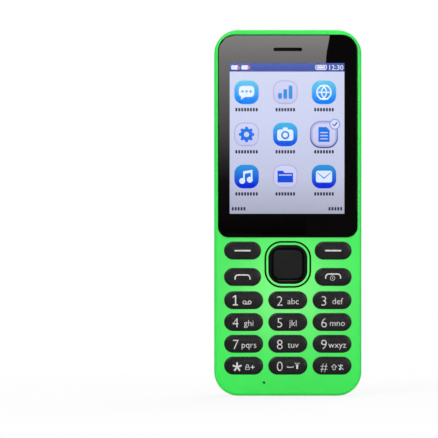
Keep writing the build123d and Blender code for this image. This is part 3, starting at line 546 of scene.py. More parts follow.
def panel_glass():
    """Dark polarised face of the display panel."""
    return surface(
        "panel_glass", ((0.03, 0.03, 0.045), (0.05, 0.05, 0.07)), (0.06, 0.12), (3000, 0.0000005),
        values={"Coat Weight": 0.6, "Coat Roughness": 0.03},
    )


def tray_white():
    """White reflector tray of the backlight."""
    return surface("tray_white", ((0.86, 0.87, 0.88), (0.78, 0.79, 0.81)), (0.4, 0.55), (2600, 0.000008))


def flex_amber():
    """Amber flexible circuit with copper lines running along it."""
    return surface(
        "flex_amber", ((0.72, 0.42, 0.1), (0.5, 0.26, 0.06)), (0.25, 0.4), (2500, 0.000008), (1500, 1.0),
        stretch=(1, 0.05, 0.05), values={"Coat Weight": 0.4, "Coat Roughness": 0.15},
    )


def film_clear():
    """Milky film over the domes."""
    return surface(
        "film_clear", ((0.78, 0.8, 0.82), (0.66, 0.69, 0.72)), (0.2, 0.34), (1800, 0.00001),
        values={"Coat Weight": 0.5, "Coat Roughness": 0.1},
    )


def steel(name, tint=0.78, brushed=(1, 1, 12), gloss=(0.22, 0.4)):
    """Rolled steel, brushed along one way."""
    return surface(
        name, ((tint, tint, tint * 1.02), (tint * 0.8, tint * 0.8, tint * 0.82)), gloss, (2600, 0.000004),
        (420, 0.8), stretch=brushed, values={"Metallic": 0.8},
    )


def gold():
    """Gold-plated contact."""
    return surface(
        "contact_gold", ((0.96, 0.8, 0.45), (0.86, 0.67, 0.32)), (0.3, 0.45), (3200, 0.000003), (500, 0.8),
        values={"Metallic": 0.7},
    )


def board_green():
    """Solder mask over copper tracks, which show as raised lines."""
    return surface(
        "board_green", ((0.05, 0.27, 0.12), (0.03, 0.18, 0.08)), (0.25, 0.4), (1400, 0.00001), (700, 1.0),
        stretch=(1, 1, 0.15), values={"Coat Weight": 0.5, "Coat Roughness": 0.12},
    )


def chip_black():
    """Moulded chip body, speckled with filler."""
    return surface(
        "chip_black", ((0.09, 0.09, 0.095), (0.16, 0.16, 0.165)), (0.5, 0.7), (7000, 0.000008), (3000, 0.7)
    )


def connector_black():
    """Glass-filled connector body."""
    return surface("connector_black", ((0.08, 0.08, 0.085), (0.12, 0.12, 0.12)), (0.4, 0.6), (5200, 0.000008))


def jack_black():
    """Black body of the headphone socket."""
    return surface("jack_black", ((0.06, 0.06, 0.065), (0.1, 0.1, 0.1)), (0.3, 0.45), (4200, 0.000006))


def light_white():
    """Milky cap of a small light."""
    return surface(
        "light_white", ((0.95, 0.93, 0.8), (0.88, 0.86, 0.7)), (0.3, 0.45), (3000, 0.000005),
        values={"Coat Weight": 0.4},
    )


def battery_sleeve():
    """Shrunk plastic sleeve with a slightly crinkled skin."""
    return surface(
        "battery_sleeve", ((0.11, 0.12, 0.135), (0.15, 0.16, 0.18)), (0.3, 0.48), (1500, 0.00002), (90, 0.9),
        values={"Coat Weight": 0.2, "Coat Roughness": 0.2},
    )


def label_silver():
    """Plain silvery film on the battery."""
    return surface(
        "label_silver", ((0.74, 0.76, 0.78), (0.66, 0.68, 0.7)), (0.35, 0.5), (3000, 0.000004), (200, 0.8),
        stretch=(1, 1, 8), values={"Metallic": 0.1},
    )


def cone_silver():
    """Formed polymer cone of the loudspeaker."""
    return surface(
        "cone_silver", ((0.34, 0.35, 0.36), (0.24, 0.25, 0.26)), (0.35, 0.5), (2600, 0.000006),
        values={"Metallic": 0.4},
    )


def link_object(name, mesh):
    """New object at the origin for a mesh whose place is in its vertices."""
    piece = bpy.data.objects.new(name, mesh)
    bpy.context.scene.collection.objects.link(piece)
    return piece


def shade_smooth(bm):
    """Smooth faces, with edges sharp where they turn by more than the sharp angle."""
    for face in bm.faces:
        face.smooth = True
    for edge in bm.edges:
        edge.smooth = edge.calc_face_angle(math.pi) < SHARP_ANGLE


def finished_mesh(name, bm):
    """Mesh from a finished bmesh, which is freed."""
    mesh = bpy.data.meshes.new(name)
    bm.to_mesh(mesh)
    bm.free()
    return mesh


def mesh_object(name, bm):
    """Object from a finished bmesh."""
    return link_object(name, finished_mesh(name, bm))


def applied_mesh(piece):
    """Mesh of an object with its modifiers applied, or of a curve with its fill."""
    return bpy.data.meshes.new_from_object(piece.evaluated_get(bpy.context.evaluated_depsgraph_get()))


def half_sizes(low, high):
    """Half the width and half the height of a box."""
    return (high.x - low.x) / 2, (high.z - low.z) / 2


def settle(piece, body, material, stands_for=()):
    """Give a finished piece its material and body, and hide the nodes that it stands for."""
    piece.data.materials.clear()
    piece.data.materials.append(material)
    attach(piece, body)
    if stands_for:
        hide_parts(*stands_for)
    return piece


def merged(mesh):
    """Smooth-shaded bmesh of a mesh, with its loose triangles joined."""
    bm = bmesh.new()
    bm.from_mesh(mesh)
    bmesh.ops.remove_doubles(bm, verts=bm.verts, dist=MERGE)
    shade_smooth(bm)
    return bm


def even_normals(piece):
    """Keep flat faces flat beside the rounds that run into them."""
    modifier = piece.modifiers.new("even_normals", "WEIGHTED_NORMAL")
    modifier.keep_sharp = True
    modifier.weight = NORMAL_WEIGHT


def refine(node, name, body, material):
    """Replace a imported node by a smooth-shaded copy of its shape."""
    piece = mesh_object(name, merged(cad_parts[node].data))
    even_normals(piece)
    return settle(piece, body, material, (node,))


def dress(material, *nodes):
    """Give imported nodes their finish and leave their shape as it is."""
    for node in nodes:
        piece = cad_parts[node]
        if not piece.material_slots:
            piece.data.materials.append(material)
        for material_slot in piece.material_slots:
            material_slot.material = material


def rounded_loop(half_width, half_height, radius, steps=CORNER_STEPS):
    """Points of a rounded rectangle round the origin, as many whatever its radius."""
    points = []
    for quarter, (side_x, side_z) in enumerate(((1, 1), (-1, 1), (-1, -1), (1, -1))):
        for step in range(steps + 1):
            turn = math.pi / 2 * (quarter + step / steps)
            points.append((
                side_x * (half_width - radius) + radius * math.cos(turn),
                side_z * (half_height - radius) + radius * math.sin(turn),
            ))
    return points


def ring_mesh(name, centre, half, radius, profile):
    """Closed mesh through rounded rectangles; each step of the profile is an inset and a place along Y."""
    bm = bmesh.new()
    rings = []
    for inset, y in profile:
        loop = rounded_loop(half[0] - inset, half[1] - inset, max(radius - inset, LEAST_RADIUS))
        rings.append([bm.verts.new((centre.x + x, y, centre.z + z)) for x, z in loop])
    for ring, following in zip(rings, rings[1:]):
        for i in range(len(ring)):
            j = (i + 1) % len(ring)
            bm.faces.new((ring[i], ring[j], following[j], following[i]))
    bm.faces.new(rings[0])
    bm.faces.new(rings[-1])
    bmesh.ops.remove_doubles(bm, verts=bm.verts, dist=MERGE)
    bmesh.ops.recalc_face_normals(bm, faces=bm.faces)
    shade_smooth(bm)
    return finished_mesh(name, bm)


def ring_loft(name, centre, half, radius, profile):
    """Object of such a mesh."""
    return link_object(name, ring_mesh(name, centre, half, radius, profile))


def loops_curve(*loops):
    """Flat filled curve of closed loops; a loop inside another is a hole."""
    curve = bpy.data.curves.new("print", "CURVE")
    curve.dimensions = "2D"
    curve.fill_mode = "BOTH"
    for loop in loops:
        spline = curve.splines.new("POLY")
        spline.points.add(len(loop) - 1)
        for point, (x, z) in zip(spline.points, loop):
            point.co = (x, z, 0, 1)
        spline.use_cyclic_u = True
    return curve


def words_curve(words, height, weight):
    """Filled lettering whose figures have the given height, thinned or thickened by its weight."""
    curve = bpy.data.curves.new("print", "FONT")
    curve.body = words
    curve.align_x = "CENTER"
    curve.resolution_u = 3
    curve.size = height / FIGURE_SHARE
    curve.offset = weight * curve.size
    return curve


def flat_faces(bm, curve, unit, x, z):
    """Add the filled faces of a flat curve to a mesh in the X-Z plane, scaled by a unit and moved."""
    holder = link_object("print", curve)
    filled = applied_mesh(holder)
    upright = Matrix.Rotation(math.pi / 2, 4, "X") @ Matrix.Scale(unit, 4)
    filled.transform(Matrix.Translation((x, 0, z)) @ upright)
    bm.from_mesh(filled)
    bpy.data.objects.remove(holder)
    bpy.data.curves.remove(curve)
    bpy.data.meshes.remove(filled)


def thicken(bm, thickness):
    """Close flat faces into a plate that reaches back along +Y."""
    made = bmesh.ops.extrude_face_region(bm, geom=bm.faces[:], use_keep_orig=True)
    moved = [part for part in made["geom"] if isinstance(part, bmesh.types.BMVert)]
    bmesh.ops.translate(bm, vec=(0, thickness, 0), verts=moved)
    bmesh.ops.recalc_face_normals(bm, faces=bm.faces)


def plate(name, prints, y, thickness, unit):
    """Closed flat plates with their front at y; a print is a curve, drawn in units, and its place."""
    bm = bmesh.new()
    for curve, x, z in prints:
        flat_faces(bm, curve, unit, x, z)
    for vertex in bm.verts:
        vertex.co.y = y
    thicken(bm, thickness)
    return mesh_object(name, bm)


def rod(length, radius, axis, sides=6):
    """Mesh of a thin rod centred on the origin along an axis."""
    bm = bmesh.new()
    turn = Matrix.Rotation(math.pi / 2, 4, "Y") if axis == "X" else Matrix.Identity(4)
    bmesh.ops.create_cone(
        bm, cap_ends=True, segments=sides, radius1=radius, radius2=radius, depth=length, matrix=turn
    )
    return finished_mesh("rod", bm)


def rows_and_columns():
    """Geometry Nodes tree that repeats its geometry in columns and rows, and its inputs' identifiers."""
    tree = bpy.data.node_groups.new("rows_and_columns", "GeometryNodeTree")
    face = tree.interface
    face.new_socket("Geometry", in_out="INPUT", socket_type="NodeSocketGeometry")
    sockets = {
        name: face.new_socket(name, in_out="INPUT", socket_type=kind).identifier
        for name, kind in (
            ("Columns", "NodeSocketInt"),
            ("Rows", "NodeSocketInt"),
            ("Start", "NodeSocketVector"),
            ("Column Step", "NodeSocketVector"),
            ("Row Step", "NodeSocketVector"),
            ("Material", "NodeSocketMaterial"),
        )
    }
    face.new_socket("Geometry", in_out="OUTPUT", socket_type="NodeSocketGeometry")
    entry = add_node(tree, "NodeGroupInput").outputs
    columns = add_node(
        tree, "GeometryNodeMeshLine",
        {"Count": entry["Columns"], "Start Location": entry["Start"], "Offset": entry["Column Step"]},
    )
    rows = add_node(tree, "GeometryNodeMeshLine", {"Count": entry["Rows"], "Offset": entry["Row Step"]})
    grid = add_node(
        tree, "GeometryNodeInstanceOnPoints", {"Points": columns.outputs[0], "Instance": rows.outputs[0]}
    )
    points = add_node(tree, "GeometryNodeRealizeInstances", {"Geometry": grid.outputs[0]})
    copies = add_node(
        tree, "GeometryNodeInstanceOnPoints", {"Points": points.outputs[0], "Instance": entry["Geometry"]}
    )
    solid = add_node(tree, "GeometryNodeRealizeInstances", {"Geometry": copies.outputs[0]})
    finished = add_node(
        tree, "GeometryNodeSetMaterial", {"Geometry": solid.outputs[0], "Material": entry["Material"]}
    )
    add_node(tree, "NodeGroupOutput", {"Geometry": finished.outputs[0]})
    return tree, sockets


def repeat(name, item, start, columns, rows, material):
    """Plain mesh object of an item repeated by Geometry Nodes; columns and rows are a count and a step."""
    tree, sockets = rows_and_columns()
    source = link_object("item", item)
    modifier = source.modifiers.new("copies", "NODES")
    modifier.node_group = tree
    modifier[sockets["Columns"]] = columns[0]
    modifier[sockets["Rows"]] = rows[0]
    modifier[sockets["Start"]] = start
    modifier[sockets["Column Step"]] = columns[1]
    modifier[sockets["Row Step"]] = rows[1]
    modifier[sockets["Material"]] = material
    mesh = applied_mesh(source)
    bpy.data.objects.remove(source)
    return link_object(name, mesh)


def weave(name, body, node, pitch, wire, material):
    """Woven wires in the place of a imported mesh: one layer along X, and one along Z behind it."""
    low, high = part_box(node)
    middle = (low + high) / 2
    across = int((high.z - low.z) / pitch) - 1
    along = int((high.x - low.x) / pitch) - 1
    weft_start = Vector((middle.x, low.y + wire, middle.z - (across - 1) * pitch / 2))
    warp_start = Vector((middle.x - (along - 1) * pitch / 2, high.y - wire, middle.z))
    step_x, step_z = Vector((pitch, 0, 0)), Vector((0, 0, pitch))
    weft, warp = rod(high.x - low.x, wire, "X"), rod(high.z - low.z, wire, "Z")
    for wires in (
        repeat(f"{name}_weft", weft, weft_start, (1, step_x), (across, step_z), material),
        repeat(f"{name}_warp", warp, warp_start, (along, step_x), (1, step_z), material),
    ):
        settle(wires, body, material, (node,))


def crown_drop(inset, keys, reach):
    """How far a cap's face lies behind its highest point at an inset from its outline."""
    edge = keys.edge
    rounding = edge - math.sqrt(max(edge**2 - max(edge - inset, 0) ** 2, 0))
    return rounding + keys.crown * (1 - min(inset / reach, 1)) ** 2


def inset_at(x, z, half, radius):
    """How far a point lies inside a rounded rectangle round the origin."""
    beyond_x = abs(x) - (half[0] - radius)
    beyond_z = abs(z) - (half[1] - radius)
    return radius - math.hypot(max(beyond_x, 0), max(beyond_z, 0)) - min(max(beyond_x, beyond_z), 0)


def cap_size(key, keys):
    """Centre, half sizes, face and back of a key's cap, from the box of its flange."""
    low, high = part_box(key)
    half = tuple(size - keys.lap for size in half_sizes(low, high))
    return (low + high) / 2, half, low.y, high.y


def key_cap(key, keys):
    """Crowned cap with round ends and a rounded edge, and the flange behind its face."""
    centre, half, top, back = cap_size(key, keys)
    reach = min(half)
    flange_front = back - keys.flange
    profile = [(-keys.lap, back), (-keys.lap, flange_front), (0, flange_front)]
    for step in range(EDGE_STEPS + 1):
        turn = math.pi / 2 * step / EDGE_STEPS
        inset = keys.edge * (1 - math.cos(turn))
        profile.append((inset, top + crown_drop(inset, keys, reach)))
    for share in CROWN_SHARES:
        profile.append((reach * share, top + crown_drop(reach * share, keys, reach)))
    return ring_loft(f"{key}_cap", centre, half, reach, profile)


def slice_faces(bm, half, pitch):
    """Cut flat faces along a grid, so that they can follow a curved face."""
    for axis, reach in ((0, half[0]), (2, half[1])):
        normal = Vector((axis == 0, 0, axis == 2))
        for step in range(-int(reach / pitch), int(reach / pitch) + 1):
            bmesh.ops.bisect_plane(
                bm, geom=bm.verts[:] + bm.edges[:] + bm.faces[:], plane_co=normal * step * pitch,
                plane_no=normal, dist=MERGE / 10,
            )


def print_on_key(key, prints, keys, material):
    """Ink that follows the crown of a key's cap."""
    centre, half, top, _ = cap_size(key, keys)
    unit = keys.figure / FIGURE_GRID
    bm = bmesh.new()
    for curve, x, z in prints:
        flat_faces(bm, curve, unit, x * unit, z * unit)
    slice_faces(bm, half, PRINT_SLICE)
    reach = min(half)
    for vertex in bm.verts:
        x, z = vertex.co.x, vertex.co.z
        drop = crown_drop(inset_at(x, z, half, reach), keys, reach)
        vertex.co = (centre.x + x, top + drop - keys.proud, centre.z + z)
    thicken(bm, keys.ink)
    return settle(mesh_object(f"{key}_print", bm), key, material)


def arc(radius, start, end, steps, x=0.0, z=0.0):
    """Points along an arc between two angles in degrees."""
    turns = [math.radians(start + (end - start) * step / steps) for step in range(steps + 1)]
    return [(x + radius * math.cos(turn), z + radius * math.sin(turn)) for turn in turns]


def circle(radius, x=0.0, z=0.0, points=48):
    """Circle as a loop."""
    return arc(radius, 0, 360 * (points - 1) / points, points - 1, x, z)


def bar(width, height, x=0.0, z=0.0, radius=0.1):
    """Rounded bar as a loop."""
    return [(x + px, z + pz) for px, pz in rounded_loop(width / 2, height / 2, radius, 4)]


def band(points, width):
    """Loop of a band of even width along a line of points."""
    left, right = [], []
    for i, (x, z) in enumerate(points):
        x0, z0 = points[max(i - 1, 0)]
        x1, z1 = points[min(i + 1, len(points) - 1)]
        length = math.hypot(x1 - x0, z1 - z0)
        nx, nz = -(z1 - z0) / length * width / 2, (x1 - x0) / length * width / 2
        left.append((x + nx, z + nz))
        right.append((x - nx, z - nz))
    return left + right[::-1]


def handset_print(width=5.2, height=1.7, line=0.38):
    """Receiver drawn as an arch with short feet."""
    corner = height * 0.6
    reach = width / 2 - line / 2
    top = height / 2 - line / 2
    left = arc(corner, 180, 90, 6, -reach + corner, top - corner)
    right = arc(corner, 90, 0, 6, reach - corner, top - corner)
    path = [(-reach, -height / 2)] + left + right + [(reach, -height / 2)]
    return loops_curve(band(path, line))


def dash_prints():
    """Dash of a soft key."""
    return [(loops_curve(bar(5.3, 0.45, radius=0.2)), 0, 0)]


def call_prints():
    """Receiver of the call key."""
    return [(handset_print(), 0, 0)]


def end_prints():
    """Receiver of the end key over the mark for power."""
    ring, tick = loops_curve(circle(0.8), circle(0.66)), loops_curve(bar(0.15, 0.6, radius=0.06))
    return [(handset_print(), 0, 0.3), (ring, -0.2, -0.35), (tick, -0.2, -0.35)]


def tape_prints():
    """Flagged figure one, and two reels over a line for the message service."""
    one = [(-0.8, 0.75), (-0.8, 1.15), (-0.05, 1.6), (0.3, 1.6), (0.3, -1.3), (0.9, -1.3), (0.9, -1.65)]
    one += [(-0.8, -1.65), (-0.8, -1.3), (-0.1, -1.3), (-0.1, 1.15)]
    reels = [(loops_curve(circle(0.62), circle(0.38)), x, -0.7) for x in (0.3, 1.9)]
    return [(loops_curve(one), -2.7, 0)] + reels + [(loops_curve(bar(1.7, 0.24)), 1.1, -1.2)]


def star_loop(reach=1.5, half=0.27):
    """Outline of a star whose five arms have an even width."""
    loop = []
    for arm in range(5):
        turn, valley = math.radians(90 + 72 * arm), math.radians(54 + 72 * arm)
        depth = half / math.sin(math.radians(36))
        loop.append((depth * math.cos(valley), depth * math.sin(valley)))
        for side in (-half, half):
            loop.append((
                reach * math.cos(turn) - side * math.sin(turn), reach * math.sin(turn) + side * math.cos(turn)
            ))
    return loop


def lock_prints():
    """Star, closed padlock and plus."""
    body = loops_curve(bar(1.35, 0.9, radius=0.15), bar(1.03, 0.58, radius=0.05))
    bow = loops_curve(band([(-0.42, -0.15)] + arc(0.42, 180, 0, 8, 0, 0.15) + [(0.42, -0.15)], 0.16))
    plus = [(loops_curve(loop), 2.9, -0.5) for loop in (bar(1.3, 0.26), bar(0.26, 1.3))]
    return [(loops_curve(star_loop()), -2.1, -0.4), (body, 1.2, -0.85), (bow, 1.2, -0.2)] + plus


def space_prints():
    """Open box that stands for a space, and a torch with its rays."""
    torch = [(-0.5, 0.35), (0.5, 0.35), (0.28, -0.1), (0.28, -1.05), (-0.28, -1.05), (-0.28, -0.1)]
    box = band([(-1.0, 0.25), (-1.0, -0.15), (1.0, -0.15), (1.0, 0.25)], 0.24)
    rays = [(loops_curve(band([(x, 0.55), (x * 1.6, 0.95)], 0.2)), 3.0, 0) for x in (-0.45, 0, 0.45)]
    return [(loops_curve(box), 0.75, -0.35), (loops_curve(torch), 3.0, 0)] + rays


def arrow_prints():
    """Outlined arrow that points up, and a crossed note."""
    outer = [(0, 1.05), (1.0, 0.05), (0.48, 0.05), (0.48, -0.85)]
    inner = [(0, 0.8), (0.62, 0.19), (0.32, 0.19), (0.32, -0.69)]
    arrow = loops_curve(*[half + [(-x, z) for x, z in half[:0:-1]] for half in (outer, inner)])
    flag = [(0.09, 0.5), (0.7, 0.3), (0.7, 0.62), (-0.14, 0.95), (-0.14, -0.28)]
    note = loops_curve(arc(0.34, 90, 400, 12, -0.25, -0.6) + flag)
    slash = loops_curve(band([(-0.85, 0.75), (0.85, -0.75)], 0.2))
    return [(arrow, 0.65, -0.5), (note, 2.8, -0.5), (slash, 2.8, -0.5)]


MARKS = {
    "soft_key_left": dash_prints,
    "soft_key_right": dash_prints,
    "call_key": call_prints,
    "end_key": end_prints,
    "key_1": tape_prints,
    "key_star": lock_prints,
    "key_0": space_prints,
    "key_hash": arrow_prints,
}


def key_prints(key, keys):
    """Prints of one key: curves and their places from its centre, in units of the figure's grid."""
    prints = MARKS[key]() if key in MARKS else []
    if key in FIGURES:
        tall = FIGURE_GRID * (HASH_SHARE if key == "key_hash" else 1.0)
        foot = -FIGURE_GRID / 2 - FIGURE_DROP
        prints.append((words_curve(FIGURES[key], tall, FIGURE_WEIGHT), FIGURE_MIDDLE, foot))
    if key in LETTERS:
        small = keys.letter / keys.figure * FIGURE_GRID
        prints.append((words_curve(LETTERS[key], small, LETTER_WEIGHT), *LETTER_PLACE))
    return prints


def envelope_glyph():
    """Closed letter."""
    flap = [(-2.0, 1.25), (0, -0.35), (2.0, 1.25), (2.3, 1.25), (0, -0.75), (-2.3, 1.25)]
    return [loops_curve(bar(5.2, 3.8, radius=0.7), flap)]


def note_glyph():
    """Pair of joined notes."""
    stems = [(-1.1, -1.3), (-1.1, 1.7), (1.9, 2.2), (1.9, -0.9)]
    stems += [(1.35, -0.9), (1.35, 1.25), (-0.55, 0.9), (-0.55, -1.3)]
    return [loops_curve(stems), loops_curve(circle(0.95, -1.4, -1.4)), loops_curve(circle(0.95, 1.05, -1.0))]


def cog_glyph():
    """Wheel with eight blunt teeth."""
    teeth = []
    for tooth in range(8):
        middle = tooth * 45
        teeth += arc(2.5, middle - 9, middle + 9, 2) + arc(1.95, middle + 15, middle + 30, 2)
    return [loops_curve(teeth, circle(0.85))]


def bars_glyph():
    """Three rising bars."""
    heights = ((-1.7, 1.9), (0, 3.1), (1.7, 4.3))
    return [loops_curve(bar(1.2, height, x, height / 2 - 2.1, 0.3)) for x, height in heights]


def globe_glyph():
    """Round globe with its middle lines."""
    rim = loops_curve(circle(2.5), circle(2.05))
    right = loops_curve(band(arc(2.2, 90, -90, 16, -1.4), 0.4))
    left = loops_curve(band(arc(2.2, 90, 270, 16, 1.4), 0.4))
    return [rim, right, left, loops_curve(bar(4.4, 0.4))]


def camera_glyph():
    """Camera with a round lens."""
    body = loops_curve(bar(5.2, 3.6, 0, -0.2, 0.8), circle(1.35, 0, -0.2))
    return [body, loops_curve(circle(0.8, 0, -0.2)), loops_curve(bar(1.6, 0.7, 0, 1.9, 0.2))]


def folder_glyph():
    """Folder with a tab."""
    outline = [(-2.5, -1.9), (-2.5, 1.9), (-0.8, 1.9), (-0.2, 1.2), (2.5, 1.2), (2.5, -1.9)]
    return [loops_curve(outline, bar(4.2, 0.35, 0, 0.5, 0.1))]


def page_glyph():
    """Sheet with lines of writing."""
    outline = [(-1.8, -2.4), (-1.8, 2.4), (0.8, 2.4), (1.8, 1.4), (1.8, -2.4)]
    return [loops_curve(outline, bar(2.4, 0.35, 0, 0.6), bar(2.4, 0.35, 0, -0.4), bar(2.4, 0.35, 0, -1.4))]


def bubble_glyph():
    """Speech bubble with three dots."""
    outline = bar(5.0, 3.6, 0, 0.3, 1.2)
    tail = [(-1.6, -1.3), (-1.9, -2.4), (-0.3, -1.4)]
    return [loops_curve(outline, *[circle(0.38, x, 0.3) for x in (-1.3, 0, 1.3)]), loops_curve(tail)]


GLYPHS = (
    (bubble_glyph, bars_glyph, globe_glyph),
    (cog_glyph, camera_glyph, page_glyph),
    (note_glyph, folder_glyph, envelope_glyph),
)


def tile_mesh(width, height, radius, thickness):
    """Rounded tile centred on the origin, with a UV map across its face."""
    mesh = ring_mesh("tile", Vector(), (width / 2, height / 2), radius, [(0, 0), (0, thickness)])
    layer = mesh.uv_layers.new(name="UVMap")
    for loop in mesh.loops:
        place = mesh.vertices[loop.vertex_index].co
        layer.data[loop.index].uv = (place.x / width + 0.5, place.z / height + 0.5)
    return mesh


class PHONE_OT_shells(bpy.types.Operator):
    """Build the front housing, the rear cover, the trim and the chassis behind the cover."""

    bl_idname = "phone.shells"
    bl_label = "Shells"

    def execute(self, context):
        finish = context.scene.phone_finish
        green = shell_green(finish.shell)
        refine("front_housing", "front_shell", "housing", green)
        refine("nav_trim", "ring_trim", "nav_ring", green)
        refine("rear_cover", "back_shell", "rear_cover", cover_green(finish.cover))
        dress(chassis_green(finish.chassis), "rear_chassis")
        return {"FINISHED"}


def lit_centre(screen):
    """Middle of the lit area, on the face of the display panel."""
    return Vector((
        (panel_low.x + panel_high.x) / 2, panel_low.y, panel_high.z - screen.top_lap - screen.height / 2,
    ))


class PHONE_OT_window(bpy.types.Operator):
    """Build the window: its printed border and the clear area over the lit screen."""

    bl_idname = "phone.window"
    bl_label = "Window"

    def execute(self, context):
        screen = context.scene.phone_screen
        centre = lit_centre(screen)
        depth = window_high.y - window_low.y
        solid = mesh_object("window_solid", merged(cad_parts["display_window"].data))
        opening = ring_loft(
            "opening", centre, (screen.width / 2, screen.height / 2), LEAST_RADIUS,
            [(0, window_low.y - depth), (0, window_high.y + depth)],
        )
        cut = solid.modifiers.new("opening", "BOOLEAN")
        cut.object = opening
        holed = applied_mesh(solid)
        for used in (solid, opening):
            bpy.data.objects.remove(used)
        border = mesh_object("window_border", merged(holed))
        even_normals(border)
        settle(border, "housing", window_black(), ("display_window",))
        lens = ring_loft(
            "window_lens", centre, (screen.width / 2 - LAYER, screen.height / 2 - LAYER), LEAST_RADIUS,
            [(0, window_low.y), (0, window_high.y)],
        )
        glass = clear("window_clear", (1, 1, 1), 1.05, 0.08)
        settle(lens, "housing", glass, ("display_window",))
        return {"FINISHED"}


class PHONE_OT_display(bpy.types.Operator):
    """Finish the display module and light its picture."""

    bl_idname = "phone.display"
    bl_label = "Display"

    def execute(self, context):
        screen = context.scene.phone_screen
        dress(panel_glass(), "display_panel")
        dress(tray_white(), "display_backlight")
        dress(flex_amber(), "display_flex")
        dress(foam_black(), "display_foam")
        dress(tape_black(), "window_tape")
        centre = lit_centre(screen)
        self.background(screen, centre)
        self.status_bar(screen, centre)
        self.tiles(screen, centre)
        return {"FINISHED"}

    def show(self, piece, material):
        """Fasten one layer of the picture to the panel."""
        settle(piece, "housing", material)

    def background(self, screen, centre):
        """Pale lavender field, greyer towards the foot."""
        low, high = centre.z - screen.height / 2, centre.z + screen.height / 2
        field = ring_loft(
            "screen_field", centre, (screen.width / 2, screen.height / 2), LEAST_RADIUS,
            [(0, centre.y - LAYER), (0, centre.y)],
        )
        lavender = (
            (0.0, (0.67, 0.68, 0.76)),
            (0.25, (0.77, 0.785, 0.89)),
            (0.6, (0.81, 0.83, 0.95)),
            (1.0, (0.83, 0.855, 0.955)),
        )
        self.show(field, lit("screen_field", lavender, screen.glow, low, high))

    def status_bar(self, screen, centre):
        """Blue bar with two card marks, a battery mark and the clock."""
        unit = screen.bar / BAR_GRID
        top = centre.z + screen.height / 2
        middle = top - screen.bar / 2
        strip = ring_loft(
            "screen_bar", Vector((centre.x, 0, middle)), (screen.width / 2, screen.bar / 2), LEAST_RADIUS,
            [(0, centre.y - 2 * LAYER), (0, centre.y - LAYER)],
        )
        blue = ((0.0, (0.23, 0.29, 0.62)), (0.5, (0.26, 0.34, 0.68)), (1.0, (0.3, 0.38, 0.71)))
        self.show(strip, lit("screen_bar", blue, screen.glow, top - screen.bar, top))
        left, right = centre.x - screen.width / 2, centre.x + screen.width / 2
        cards = [left + place * unit for place in CARD_MARKS]
        battery = right - BATTERY_MARK * unit
        clock = words_curve(screen.clock, CLOCK_HEIGHT, CLOCK_WEIGHT)
        marks = [(loops_curve(bar(2.3, 1.4, radius=0.35)), card, middle) for card in cards]
        marks += [
            (loops_curve(bar(3.7, 1.6, radius=0.5), bar(3.1, 1.0, radius=0.2)), battery, middle),
            (loops_curve(bar(2.5, 0.7)), battery, middle),
            (clock, right - CLOCK_MARK * unit, middle - CLOCK_DROP * unit),
        ]
        white = ((0.0, (0.9, 0.92, 1.0)), (1.0, (0.94, 0.95, 1.0)))
        piece = plate("screen_marks", marks, centre.y - 3 * LAYER, LAYER, unit)
        self.show(piece, lit("screen_marks", white, screen.glow))
        dots = [(loops_curve(circle(0.5)), card + 1.3 * unit, middle - 0.15 * unit) for card in cards]
        pink = ((0.0, (0.88, 0.42, 0.6)), (1.0, (0.9, 0.5, 0.66)))
        piece = plate("screen_dots", dots, centre.y - 4 * LAYER, LAYER, unit)
        self.show(piece, lit("screen_dots", pink, screen.glow))

    def tiles(self, screen, centre):
        """Three rows of three tiles, blue and pale by turns, with what lies on and below them."""
        middle = centre + Vector((screen.shift_x, -2 * LAYER, screen.shift_z))
        shape = (screen.tile, screen.tile * TILE_HEIGHT, screen.tile * TILE_ROUND, LAYER)
        step_x, step_z = Vector((screen.pitch_x, 0, 0)), Vector((0, 0, screen.pitch_z))
        shade = ((0.0, (0.56, 0.56, 0.76)), (0.08, (0.79, 0.79, 0.94)), (1.0, (0.83, 0.84, 0.97)))
        pale = lit("tile_pale", shade, screen.glow, by_uv=True)
        for row, (foot_blue, head_blue) in enumerate(TILE_BLUES):
            start = middle - step_z * (row - 1)
            blue = lit(f"tile_blue_{row + 1}", ((0.14, foot_blue), (1.0, head_blue)), screen.glow, by_uv=True)
            outer, inner = (blue, pale) if row % 2 == 0 else (pale, blue)
            for name, first, across, face in (
                ("outer", start - step_x, (2, step_x * 2), outer),
                ("inner", start, (1, step_x), inner),
            ):
                tile = tile_mesh(*shape)
                self.show(repeat(f"tiles_{name}_{row + 1}", tile, first, across, (1, step_z), face), face)
        self.rims(screen, middle, step_x, step_z)
        self.glyphs(screen, middle, step_x, step_z)
        self.labels(screen, centre, middle, step_x, step_z)

    def glyphs(self, screen, middle, step_x, step_z):
        """White glyphs on the blue tiles and blue ones on the pale tiles."""
        white, ink = [], []
        for row, glyphs in enumerate(GLYPHS):
            for column, glyph in enumerate(glyphs):
                place = middle + step_x * (column - 1) - step_z * (row - 1)
                colour = white if (row + column) % 2 == 0 else ink
                colour.extend((curve, place.x, place.z) for curve in glyph())
        unit = screen.tile / TILE_GRID
        top, foot = middle.z + 1.5 * screen.pitch_z, middle.z - 1.5 * screen.pitch_z
        light = ((0.0, (0.86, 0.92, 1.0)), (1.0, (0.93, 0.97, 1.0)))
        pale = plate("glyphs_white", white, middle.y - LAYER, LAYER, unit)
        self.show(pale, lit("glyph_white", light, screen.glow, foot, top))
        deep = ((0.0, (0.1, 0.22, 0.86)), (0.5, (0.12, 0.46, 0.92)), (1.0, (0.22, 0.62, 0.88)))
        blue = plate("glyphs_blue", ink, middle.y - LAYER, LAYER, unit)
        self.show(blue, lit("glyph_blue", deep, screen.glow, foot, top))

